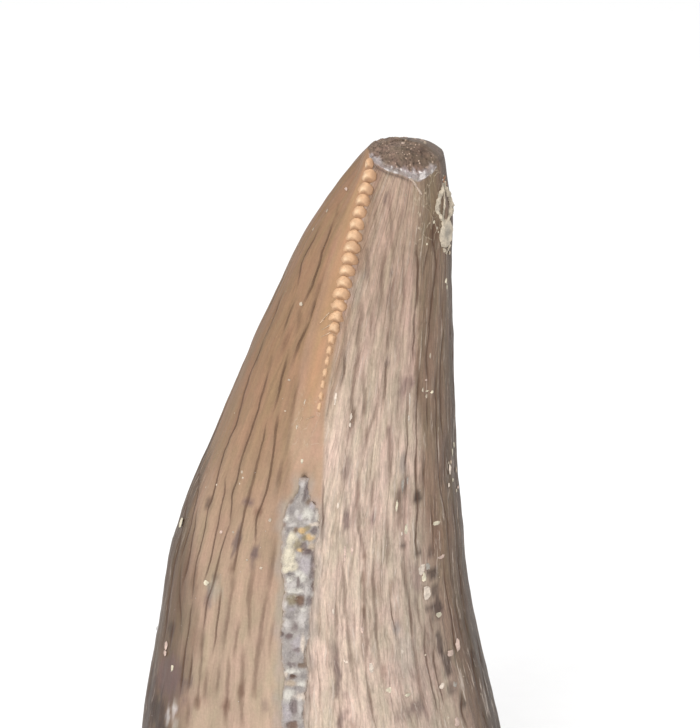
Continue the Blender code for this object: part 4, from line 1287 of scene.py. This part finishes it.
def crown_wall(angle, height, look):
    """Points and attributes of the wall."""
    places = skin_place(angle, height)
    long_places = skin_place(angle, height, 0.22)
    cracks, valley = crack_values(angle, height)
    satin = band_field(angle, height)
    furrow = furrow_field(angle, height)
    tint = crown_tint(angle, height, places, look)

    rim = along(RIM_HEIGHTS, angle)
    below = rim - height
    true_places = wall(angle, height)
    ragged = 0.80 + 0.75 * rough(true_places, 1.8, 4.0) + 0.60 * rough(true_places, 4.6, 2.0)
    rim_pale = smooth_step(0.05, -0.04, below - rim_reach(angle) * ragged)
    rim_pale = rim_pale * between(-56, -42, 46, 58, angle)
    tint = tint_blend(tint, look.rim, rim_pale * 0.9)
    under_rim = bump(below - rim_reach(angle) - 0.10, 0.07) * between(-45, -30, 8, 22, angle)
    foot = smooth_step(0.9, 0.3, height)
    tint = tint_blend(tint, np.asarray(look.back) * 0.92, foot * 0.6)
    tint = tint_blend(tint, FURROW_TINT, furrow * 0.8)

    bare = (1.0 - 0.9 * satin) * (1.0 - furrow) * (1.0 - rim_pale)
    for name in CRACK_LAYERS:
        cracks["cut_" + name] *= bare
    valley *= bare
    ribs = rough(long_places, (1.05, 1.05, 1.0), 14.0) + 0.5 * rough(long_places, (2.3, 2.3, 1.6), 2.0)
    lift = look.rib_height / MM * ribs * (1.0 - 0.8 * satin) * smooth_step(0.0, 3.0, below + 1.2)
    waves = rough(places, (0.16, 0.16, 0.42), 9.0) + 0.35 * rough(places, (0.5, 0.5, 1.5), 19.0)
    lift = lift + 0.07 * waves * (1.0 - satin) * smooth_step(0.0, 2.0, below)
    lift = lift - look.crack_depth / MM * valley - FURROW_DEPTH * furrow - 0.03 * under_rim
    lift = lift + rim_pale * (0.05 + 0.06 * rough(true_places, 5.0, 8.0))
    notch = bump(height - 17.9, 0.45) * between(-70, -80, -90, -100, angle)
    lift = lift - 0.12 * notch
    chips = rough(places, 1.5, 30.0) + 0.5 * rough(places, 4.0, 31.0)
    chamfer = 0.45 + 0.28 * rough(skin_place(angle, 0.0 * height), 0.5, 17.0)
    lift = lift - foot * (1.0 - height / FOOT_HEIGHT) * chamfer + 0.06 * foot * chips

    points = wall(angle, height, lift)
    tint = tint_blend(tint, UNDER_RIM, under_rim * 0.8)
    # The rim's chalk is partly painted highlight on the chipped enamel.
    values = {"tint": tint, "satin": satin, **cracks,
              "chalk": rim_pale * smooth_step(-0.05, 0.30, rough(true_places, 4.5, 12.0)) * 0.9,
              "grain": np.maximum(rim_pale * 0.4, foot), "skin": places,
              "fibre": fibre_field(angle, height), "scratch": scratch_field(angle, height)}
    return points, values


def crown_tip(angle, spread, look):
    """Points and attributes of the worn tip: spread is 1 on the rim and 0 at the top."""
    rim_points, rim_values = crown_wall(angle, along(RIM_HEIGHTS, angle) + 0.0 * spread, look)
    top = np.array(TIP_TOP)
    dome = (top[2] - rim_points[:, 2]) * (spread - spread**3)
    points = top + (rim_points - top) * spread[:, None]
    points[:, 2] += dome
    a = np.radians(angle)
    flat = np.stack([8.0 + 3.2 * spread * np.sin(a), 3.2 * spread * np.cos(a), 40.0 + 0.0 * a], -1)
    grain = rough(flat, 2.2, 1.0) + 0.6 * rough(flat, 5.0, 2.0)
    out = points - (3.2, -0.5, 33.0)
    out /= np.linalg.norm(out, axis=1, keepdims=True)
    facing = between(-58, -44, 46, 58, angle)
    width = facing * (0.045 + 0.07 * bump(angle + 40, 10) + 0.05 * bump(angle - 24, 10))
    width = width * (1.0 + 0.9 * rough(flat, 1.6, 7.0) + 1.1 * rough(flat, 3.6, 3.0))
    pale = smooth_step(1.0 - width - 0.05, 1.0 - width + 0.03, spread) * facing
    smooth_side = between(50, 70, 150, 170, angle)
    lift = grain * 0.05 * (1.0 - 0.7 * smooth_side) * smooth_step(1.0, 0.9, spread)
    lift -= 0.09 * (1.0 - pale) * facing * smooth_step(0.0, 0.12, 1.0 - spread)
    points += out * lift[:, None]
    tint = tint_blend(look.dentine, np.asarray(look.dentine) * 1.18, smooth_step(-0.6, 0.7, grain))
    tint = tint_blend(tint, SHOULDER, smooth_side * 0.8)
    for across, depth, half_width, half_depth, colour in TIP_MARKS:
        away = np.hypot((points[:, 0] - across) / half_width, (points[:, 1] - depth) / half_depth)
        away = away * (1.0 + 0.5 * rough(flat, 4.0, 15.0))
        tint = tint_blend(tint, TINTS[colour], smooth_step(1.3, 0.7, away) * 0.85)
    tint = tint_blend(tint, look.rim, pale)
    # The rim's chalk is partly painted highlight on the chipped enamel.
    values = {"tint": tint, "satin": 0.3 * smooth_side,
              "chalk": pale * smooth_step(-0.1, 0.35, rough(flat, 3.4, 12.0)) * 0.9,
              "grain": (1.0 - 0.6 * pale) * (1.0 - 0.7 * smooth_side), "skin": flat,
              "fibre": 0.0 * angle, "scratch": 0.0 * angle}
    for name in CRACK_LAYERS:
        values["away_" + name], values["cut_" + name] = 8.0 + 0.0 * angle, 0.0 * angle
    for name in ("tint", "satin"):
        edge = smooth_step(0.985, 1.0, spread)
        mixed = edge[:, None] if name == "tint" else edge
        values[name] = values[name] * (1 - mixed) + rim_values[name] * mixed
    return points, values


def crown_base(angle, spread, look):
    """Points and attributes of the flat broken base: spread is 1 on its rim."""
    rim_points, values = crown_wall(angle, 0.0 * angle, look)
    points = rim_points * np.stack([spread, spread, 1.0 + 0.0 * spread], -1)
    a = np.radians(angle)
    flat = np.stack([9.0 * spread * np.sin(a), 9.0 * spread * np.cos(a), -20.0 + 0.0 * a], -1)
    layered = 0.5 + 0.5 * np.sin(9.0 * spread + 2.0 * rough(flat, 0.5, 3.0))
    values["tint"] = tint_blend(np.asarray(look.dentine) * 1.05, np.asarray(look.back) * 1.1, layered * 0.6)
    for name in ("satin", "chalk", "fibre", "scratch", *("cut_" + layer for layer in CRACK_LAYERS)):
        values[name] = 0.0 * angle
    values["grain"] = 1.0 + 0.0 * angle
    values["skin"] = flat
    return points, values


def crown_place(look):
    """Where each point of the crown's grid goes, from the base over the wall to the tip."""

    def place(column, row, _):
        share = column / COLUMNS
        angle = turn(360.0 * share - math.degrees(COLUMN_CROWDING) * np.sin(2 * math.pi * share))
        angle = np.where(column == COLUMNS, angle[column == 0][0], angle)
        base, foot, tip = len(BASE_SPREADS), FOOT_ROWS, len(BASE_SPREADS) + FOOT_ROWS + WALL_ROWS
        rim = along(RIM_HEIGHTS, angle)
        foot_height = FOOT_HEIGHT * (row - base) / foot
        climb = np.interp((row - base - foot) / (WALL_ROWS - 1), *zip(*WALL_CLIMB))
        height = np.where(row < base + foot, foot_height, blend(FOOT_HEIGHT, rim, climb))
        points, values = crown_wall(angle, np.clip(height, 0.0, 36.0), look)
        on_base, on_tip = row < base, row >= tip
        base_spread = np.interp(row, np.arange(base), BASE_SPREADS)
        tip_spread = 1.0 - 0.955 * ((row - tip + 1) / TIP_ROWS) ** 0.9
        for mask, part, spread in ((on_base, crown_base, base_spread), (on_tip, crown_tip, tip_spread)):
            part_points, part_values = part(angle[mask], spread[mask], look)
            points[mask] = part_points
            for name, value in part_values.items():
                values[name][mask] = value
        return points, values

    return place


def build_crown(look):
    """The whole crown as one closed skin, from its broken base to its worn tip."""
    rows = len(BASE_SPREADS) + FOOT_ROWS + WALL_ROWS + TIP_ROWS - 1
    bm = laid_grid(COLUMNS, rows, crown_place(look))
    close_seam(bm)
    return bm


def wall_axes(angle, height, ahead_angle=0.0, ahead_height=0.2):
    """A point on the wall and unit vectors along, across and out of it there."""
    point, outward = wall_frame(angle, height)
    before = wall(angle - ahead_angle, height - ahead_height)
    ahead = Vector(wall(angle + ahead_angle, height + ahead_height) - before).normalized()
    across = ahead.cross(Vector(outward)).normalized()
    return Vector(point), ahead, across, across.cross(ahead)


def add_bead(bm, crease, wear_and_highlight, angle, height, half_width, half_height, rise, edge, worn, pick):
    """One denticle: a rounded scale leaning up the edge, with a crease over its top; painted shade marks the
    crease and the right side, and a painted highlight the middle.
    """
    step = 0.25
    slope = float(along(edge, height + step) - along(edge, height - step)) / 2
    point, ahead, across, out = wall_axes(angle, height, slope, step)
    made = bmesh.ops.create_uvsphere(bm, u_segments=20, v_segments=12, radius=1.0)["verts"]
    lean = pick.uniform(0.22, 0.38)
    chips = pick.uniform(0.0, 50.0)
    for vert in made:
        x, z, y = vert.co
        chip = 1.0 + worn * 0.30 * noise.noise(Vector((x, y, z)) * 1.8 + Vector((chips, 0.0, 0.0)))
        chip += 0.16 * noise.noise(Vector((x, y, z)) * 1.9 + Vector((chips, 9.0, 0.0)))
        droop = 1.0 - math.sqrt(max(0.0, 1.0 - x * x))
        # Painted shade under the bead above and down the right side; on the left the bead shades into the
        # band's own colour.
        under = smooth_step(-0.05, -0.42, z + droop) * smooth_step(-1.1, -0.1, x)
        vert[crease] = float(max(under, 0.85 * smooth_step(0.15, 0.85, x), 0.45 * smooth_step(-0.4, -0.9, x)))
        # Painted highlight left of the middle, dimmer on worn beads; the worn beads' tops are pale with wear.
        glint = bump(math.hypot(x + 0.25, z + 0.05), 0.36)
        vert[wear_and_highlight] = float(max(0.95 * glint * (1.0 - 0.75 * worn), 0.3 * worn * max(0.0, y) ** 2))
        left = max(0.0, -x)
        spot = across * x * half_width * chip + ahead * (z - 0.30 * left * left) * half_height * chip
        vert.co = point + spot + out * (
            (y * chip + lean * z - 0.70 * left * left) * rise - DENTICLE_SINK)


def build_denticles(edge, heights, half_width, rise, worn_below, seed, shift=NO_SHIFT):
    """A row of denticles along a cutting edge, shifted round from it; the low ones are small."""
    pick = random.Random(seed)
    bm = bmesh.new()
    crease = bm.verts.layers.float.new("crease")
    wear_and_highlight = bm.verts.layers.float.new("wear_and_highlight")
    for height in heights:
        angle = float(along(edge, height) + along(shift, height))
        size = blend(0.34, 1.0, float(smooth_step(worn_below - 2.4, worn_below + 0.4, height)))
        size *= blend(0.5, 1.0, float(smooth_step(35.9, 34.6, height))) * pick.uniform(0.88, 1.06)
        worn = float(smooth_step(worn_below + 1.2, worn_below - 0.6, height))
        add_bead(bm, crease, wear_and_highlight, angle, height + pick.uniform(-0.02, 0.02), half_width * size,
                 DENTICLE_HALF_HEIGHT * blend(0.80, 1.0, size), rise * size, edge, worn, pick)
    return bm


def sediment_place(look):
    """Where each point of the sediment's slab goes, and its colour."""

    def place(column, row, layer):
        height = blend(FURROW_LOW + 0.08, FURROW_HIGH - 0.08, row / SEDIMENT_ROWS)
        places = skin_place(0.0 * height, height)
        left = along(SEDIMENT_LEFT, height) + 0.4 * rough(places, 2.6, 3.0) + 0.6 * rough(places, 6.0, 1.0)
        right = along(SEDIMENT_RIGHT, height) + 0.4 * rough(places, 2.4, 8.0) + 0.6 * rough(places, 5.6, 5.0)
        share = column / SEDIMENT_COLUMNS
        angle = blend(left, right, share)
        places = skin_place(angle, height)
        lumps = rough(places, 1.5, 2.0) + 0.7 * rough(places, 3.4, 5.0) + 0.35 * rough(places, 8.0, 6.0)
        edge = np.minimum(np.minimum(share, 1 - share) * 7, np.minimum(row, SEDIMENT_ROWS - row) / 5)
        at_edge = smooth_step(1.0, 0.0, edge)
        rise = look.lump_height / MM * lumps + 0.02 - 0.03 * at_edge
        tint = np.broadcast_to(np.asarray(look.colour), (len(angle), 3)).copy()
        ragged = 1.0 + 0.45 * rough(places, 3.0, 9.0) + 0.30 * rough(places, 7.0, 5.0)
        for (_, _, half_across, half_down, spot_rise, colour), spot_height, spot_angle in PLACED_GRAINS:
            across = np.radians(angle - spot_angle) * mean_radius(spot_height) * PIXELS_PER_MM
            away = np.hypot(across / half_across, (height - spot_height) * PIXELS_PER_MM / half_down) * ragged
            # Grain colours: the brightest, on raised lumps, are partly painted highlights.
            tint = tint_blend(tint, TINTS[colour], smooth_step(1.70, 0.55, away) * 0.82)
            rise = rise + 0.8 * spot_rise * smooth_step(1.5, 0.3, away)
        tint = tint_blend(tint, SEDIMENT_EDGE, at_edge * 0.6)
        lift = np.where(layer > 0.5, rise, -SEDIMENT_THICK - 0.04)
        return wall(angle, height, lift), {"tint": tint}

    return place


def build_sediment(look):
    """The lumpy strip of grey sediment in the furrow."""
    return laid_grid(SEDIMENT_COLUMNS, SEDIMENT_ROWS, sediment_place(look), thick=True)


def add_ribbon(bm, tint_layer, table, colour, steps=40, sides=12):
    """A flattened, crumbly tube lying on the wall along a table of places."""
    rows = [(i / (len(table) - 1), *row) for i, row in enumerate(table)]
    grid = bmesh.new()
    bmesh.ops.create_grid(grid, x_segments=sides, y_segments=steps, size=0.5)
    for vert in grid.verts:
        side, share = round((vert.co.x + 0.5) * sides) % sides, vert.co.y + 0.5
        height, angle, half_width, half_thick = (float(along(rows, share, c)) for c in (1, 2, 3, 4))
        before, after = max(0.0, share - 0.03), min(1.0, share + 0.03)
        ahead = Vector(wall(float(along(rows, after, 2)), float(along(rows, after, 1)))
                       - wall(float(along(rows, before, 2)), float(along(rows, before, 1)))).normalized()
        point, outward = wall_frame(angle, height)
        across = ahead.cross(Vector(outward)).normalized()
        a = 2 * math.pi * side / sides
        crumb = 1.0 + 0.60 * noise.noise(Vector(point) * 5.0) + 0.70 * noise.noise(
            Vector((math.cos(a), math.sin(a), share * 18.0)) * 1.5)
        vert.co = Vector(point) + across * math.cos(a) * half_width * crumb + Vector(outward) * (
            math.sin(a) * half_thick * crumb + half_thick * 0.4)
    close_seam(grid, 1e-4)
    join_in(bm, grid, tint_layer, colour)


def join_in(bm, other, tint_layer, colour):
    """Adds another bmesh's faces to this one, in one colour."""
    mesh = bpy.data.meshes.new("joined")
    other.to_mesh(mesh)
    other.free()
    known = len(bm.verts)
    bm.from_mesh(mesh)
    bpy.data.meshes.remove(mesh)
    bm.verts.ensure_lookup_table()
    for vert in bm.verts[known:]:
        vert[tint_layer] = rgba(colour)


def add_crumb(bm, tint_layer, height, angle, size, colour, flatness=0.6, stretch=1.0, detail=2):
    """A small irregular lump lying on the wall."""
    made = bmesh.ops.create_icosphere(bm, subdivisions=detail, radius=1.0)["verts"]
    point, ahead, across, out = wall_axes(angle, height)
    shift = Vector((height * 3.1, angle * 1.7, size * 9.0))
    for vert in made:
        x, y, z = vert.co * (1.0 + 0.55 * noise.noise(vert.co * 1.3 + shift)
                              + 0.40 * noise.noise(vert.co * 3.3 + shift))
        vert.co = point + across * x * size + ahead * y * size * stretch + out * z * size * flatness
        vert[tint_layer] = rgba(colour)


def build_crust(look):
    """The cream crust: a loop of ribbons, a drop under it, and crumbs."""
    bm = bmesh.new()
    tint_layer = bm.verts.layers.float_color.new("tint")
    for table in (LEFT_ARM, INNER_ARM, RIGHT_ARM):
        add_ribbon(bm, tint_layer, table, look.crust)
    point, ahead, across, out = wall_axes(DROP_ANGLE, DROP_HEIGHT)
    half_width, half_height, thick = DROP_SIZE
    for vert in bmesh.ops.create_uvsphere(bm, u_segments=40, v_segments=24, radius=1.0)["verts"]:
        x, z, y = vert.co
        place = Vector((x, y, z))
        ripple = 1.0 + 0.13 * noise.noise(place * 2.4) + 0.07 * noise.noise(place * 6.0)
        rim = min(1.0, math.hypot(x, z))
        dish = 0.45 * math.exp(-((rim / 0.55) ** 2))
        vert.co = point + across * x * half_width * ripple + ahead * z * half_height * ripple + out * (
            y * thick * (ripple - dish))
        grey = math.exp(-((math.hypot(x + 0.1, z - 0.1) / 0.55) ** 2)) if y > 0.0 else 0.0
        vert[tint_layer] = rgba(np.asarray(look.crust) * (1 - grey) + np.asarray(look.drop) * grey)
    for height, angle, size, colour in CRUST_CRUMBS:
        shown = look.crust if colour == "cream" else TINTS[colour]
        add_crumb(bm, tint_layer, height, angle, size, shown)
    return bm


def build_flecks(look):
    """Chalky flecks stuck to the crown, the mapped ones first and then loose ones."""
    bm = bmesh.new()
    tint_layer = bm.verts.layers.float_color.new("tint")
    for (_, _, half_across, half_down, colour), height, angle in placed(FLECKS):
        shown = look.chalk if colour == "chalk" else TINTS[colour]
        facing = max(0.45, math.cos(math.radians(angle)))
        size = half_across / PIXELS_PER_MM / facing
        flatness = 0.35 * min(1.0, 1.6 / half_across) * facing
        stretch = half_down / half_across * facing
        add_crumb(bm, tint_layer, height, angle, size, shown, flatness, stretch)
    pick = random.Random(LOOSE_FLECK_SEED)
    for _ in range(LOOSE_FLECKS):
        height, size = pick.uniform(1.5, 33.0), pick.uniform(0.025, 0.07)
        add_crumb(bm, tint_layer, height, pick.uniform(40, 300), size, look.chalk, 0.35,
                  pick.uniform(1.0, 2.4), detail=1)
    for low, high, half_width in SLIVERS:
        table = [(*place, half_width * thin, 0.03 * thin) for place, thin in ((low, 0.5), (high, 1.0))]
        add_ribbon(bm, tint_layer, table, look.sliver, steps=14, sides=8)
    return bm


def build_hair(look):
    """The pale hair of mineral that hangs from the rim."""
    bm = bmesh.new()
    tint_layer = bm.verts.layers.float_color.new("tint")
    table = [(height, angle, HAIR_HALF_WIDTH, HAIR_HALF_WIDTH) for height, angle in HAIR]
    add_ribbon(bm, tint_layer, table, look.hair, steps=30, sides=8)
    return bm


class BuildStep:
    """What the build operators share."""

    bl_options = {"REGISTER", "UNDO"}


class TOOTH_OT_crown(BuildStep, bpy.types.Operator):
    """Build the crown"""

    bl_idname = "fossil_tooth.crown"
    bl_label = "Crown"

    def execute(self, context):
        look = context.scene.tooth_crown
        crown = finish_piece("crown", build_crown(look), enamel_finish(look), sharp=75.0)
        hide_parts("tooth")
        return {"FINISHED"}


class TOOTH_OT_denticles(BuildStep, bpy.types.Operator):
    """Build both rows of denticles"""

    bl_idname = "fossil_tooth.denticles"
    bl_label = "Denticles"

    def execute(self, context):
        look = context.scene.tooth_denticles
        finish = denticle_finish(look)
        half_width = look.half_width / MM
        front = [FRONT_LOWEST + FRONT_PITCH * i for i in range(look.front_count)]
        finish_piece("front_denticles", build_denticles(
            FRONT_EDGE, front, half_width, FRONT_RISE, FRONT_WORN_BELOW, FRONT_SEED, FRONT_SHIFT),
            finish)
        rear = list(np.linspace(REAR_LOWEST, REAR_HIGHEST, look.rear_count))
        finish_piece("rear_denticles", build_denticles(
            REAR_EDGE, rear, half_width * REAR_WIDTH_SHARE, REAR_RISE, REAR_WORN_BELOW, REAR_SEED),
            finish)
        return {"FINISHED"}


class TOOTH_OT_sediment(BuildStep, bpy.types.Operator):
    """Build the sediment in the furrow"""

    bl_idname = "fossil_tooth.sediment"
    bl_label = "Sediment"

    def execute(self, context):
        look = context.scene.tooth_sediment
        sediment = finish_piece("sediment", build_sediment(look), sediment_finish())
        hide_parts("sediment_strip")
        return {"FINISHED"}


class TOOTH_OT_crust(BuildStep, bpy.types.Operator):
    """Build the mineral crust and the hair of the same mineral"""

    bl_idname = "fossil_tooth.crust"
    bl_label = "Mineral Crust"

    def execute(self, context):
        look = context.scene.tooth_crust
        finish = mineral_finish("mineral_crust")
        crust = finish_piece("crust", build_crust(look), finish)
        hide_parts("mineral_crust")
        finish_piece("mineral_hair", build_hair(look), finish)
        return {"FINISHED"}


class TOOTH_OT_flecks(BuildStep, bpy.types.Operator):
    """Build the flecks and slivers"""

    bl_idname = "fossil_tooth.flecks"
    bl_label = "Flecks"

    def execute(self, context):
        look = context.scene.tooth_flecks
        finish_piece("chalk_flecks", build_flecks(look), mineral_finish("chalk"))
        return {"FINISHED"}


def add_light(name, place, size, power):
    """A soft square light aimed at the tooth."""
    data = bpy.data.lights.new(name, "AREA")
    data.size, data.energy = size, power
    light = bpy.data.objects.new(name, data)
    light.location = place
    light.rotation_mode = "QUATERNION"
    light.rotation_quaternion = (Vector(CAMERA_TARGET) * MM - light.location).to_track_quat("-Z", "Y")
    bpy.context.scene.collection.objects.link(light)


def add_camera(scene):
    """The camera at the picture's viewing angle."""
    tilt = math.radians(CAMERA_ELEVATION)
    back = Vector((0.0, -math.cos(tilt), math.sin(tilt)))
    data = bpy.data.cameras.new("camera")
    data.sensor_width = SENSOR
    data.lens = SENSOR * PIXELS_PER_MM * CAMERA_DISTANCE / PICTURE_HEIGHT
    data.clip_start, data.clip_end = CLIP_NEAR, CLIP_FAR
    camera = bpy.data.objects.new("camera", data)
    camera.location = (Vector(CAMERA_TARGET) + CENTRE_SHIFT + back * CAMERA_DISTANCE) * MM
    camera.rotation_mode = "QUATERNION"
    camera.rotation_quaternion = (-back).to_track_quat("-Z", "Y")
    scene.collection.objects.link(camera)
    scene.camera = camera


class TOOTH_OT_stage(BuildStep, bpy.types.Operator):
    """Build the floor, the lights and the camera"""

    bl_idname = "fossil_tooth.stage"
    bl_label = "Stage"

    def execute(self, context):
        scene = context.scene
        look = scene.tooth_stage
        bm = bmesh.new()
        bmesh.ops.create_grid(bm, x_segments=4, y_segments=4, size=FLOOR_HALF_SIZE)
        mesh = bpy.data.meshes.new("floor")
        bm.to_mesh(mesh)
        bm.free()
        mesh.materials.append(floor_finish(look))
        floor = bpy.data.objects.new("floor", mesh)
        scene.collection.objects.link(floor)
        world = bpy.data.worlds.new("studio")
        world.use_nodes = True
        backdrop = world.node_tree.nodes["Background"]
        backdrop.inputs["Color"].default_value = (1.0, 1.0, 1.0, 1.0)
        backdrop.inputs["Strength"].default_value = look.sky
        scene.world = world
        scene.view_settings.view_transform = "Standard"
        add_light("key", KEY_PLACE, KEY_SIZE, look.key_power)
        add_light("top", TOP_PLACE, TOP_SIZE, look.top_power)
        add_camera(scene)
        return {"FINISHED"}


class TOOTH_PT_panel(bpy.types.Panel):
    """Lists the build steps and their settings."""

    bl_label = "Fossil Tooth"
    bl_idname = "TOOTH_PT_panel"
    bl_space_type = "VIEW_3D"
    bl_region_type = "UI"
    bl_category = "Fossil Tooth"

    def draw(self, context):
        for operator, settings in STEPS:
            box = self.layout.box()
            box.operator(operator.bl_idname)
            group = getattr(context.scene, settings)
            for name in group.bl_rna.properties.keys():
                if name not in ("rna_type", "name"):
                    box.prop(group, name)


STEPS = (
    (TOOTH_OT_crown, "tooth_crown"),
    (TOOTH_OT_denticles, "tooth_denticles"),
    (TOOTH_OT_sediment, "tooth_sediment"),
    (TOOTH_OT_crust, "tooth_crust"),
    (TOOTH_OT_flecks, "tooth_flecks"),
    (TOOTH_OT_stage, "tooth_stage"),
)
SETTINGS = {
    "tooth_crown": CrownSettings,
    "tooth_denticles": DenticleSettings,
    "tooth_sediment": SedimentSettings,
    "tooth_crust": CrustSettings,
    "tooth_flecks": FleckSettings,
    "tooth_stage": StageSettings,
}


def register():
    """Makes the settings, the operators and the panel known."""
    for name, group in SETTINGS.items():
        bpy.utils.register_class(group)
        setattr(bpy.types.Scene, name, PointerProperty(type=group))
    for operator, _ in STEPS:
        bpy.utils.register_class(operator)
    bpy.utils.register_class(TOOTH_PT_panel)


def unregister():
    """Takes the panel, the operators and the settings away again."""
    bpy.utils.unregister_class(TOOTH_PT_panel)
    for operator, _ in reversed(STEPS):
        bpy.utils.unregister_class(operator)
    for name, group in SETTINGS.items():
        delattr(bpy.types.Scene, name)
        bpy.utils.unregister_class(group)


def main():
    """Builds every piece and the stage."""
    register()
    bpy.ops.fossil_tooth.crown()
    bpy.ops.fossil_tooth.denticles()
    bpy.ops.fossil_tooth.sediment()
    bpy.ops.fossil_tooth.crust()
    bpy.ops.fossil_tooth.flecks()
    bpy.ops.fossil_tooth.stage()


if __name__ == "__main__":
    main()
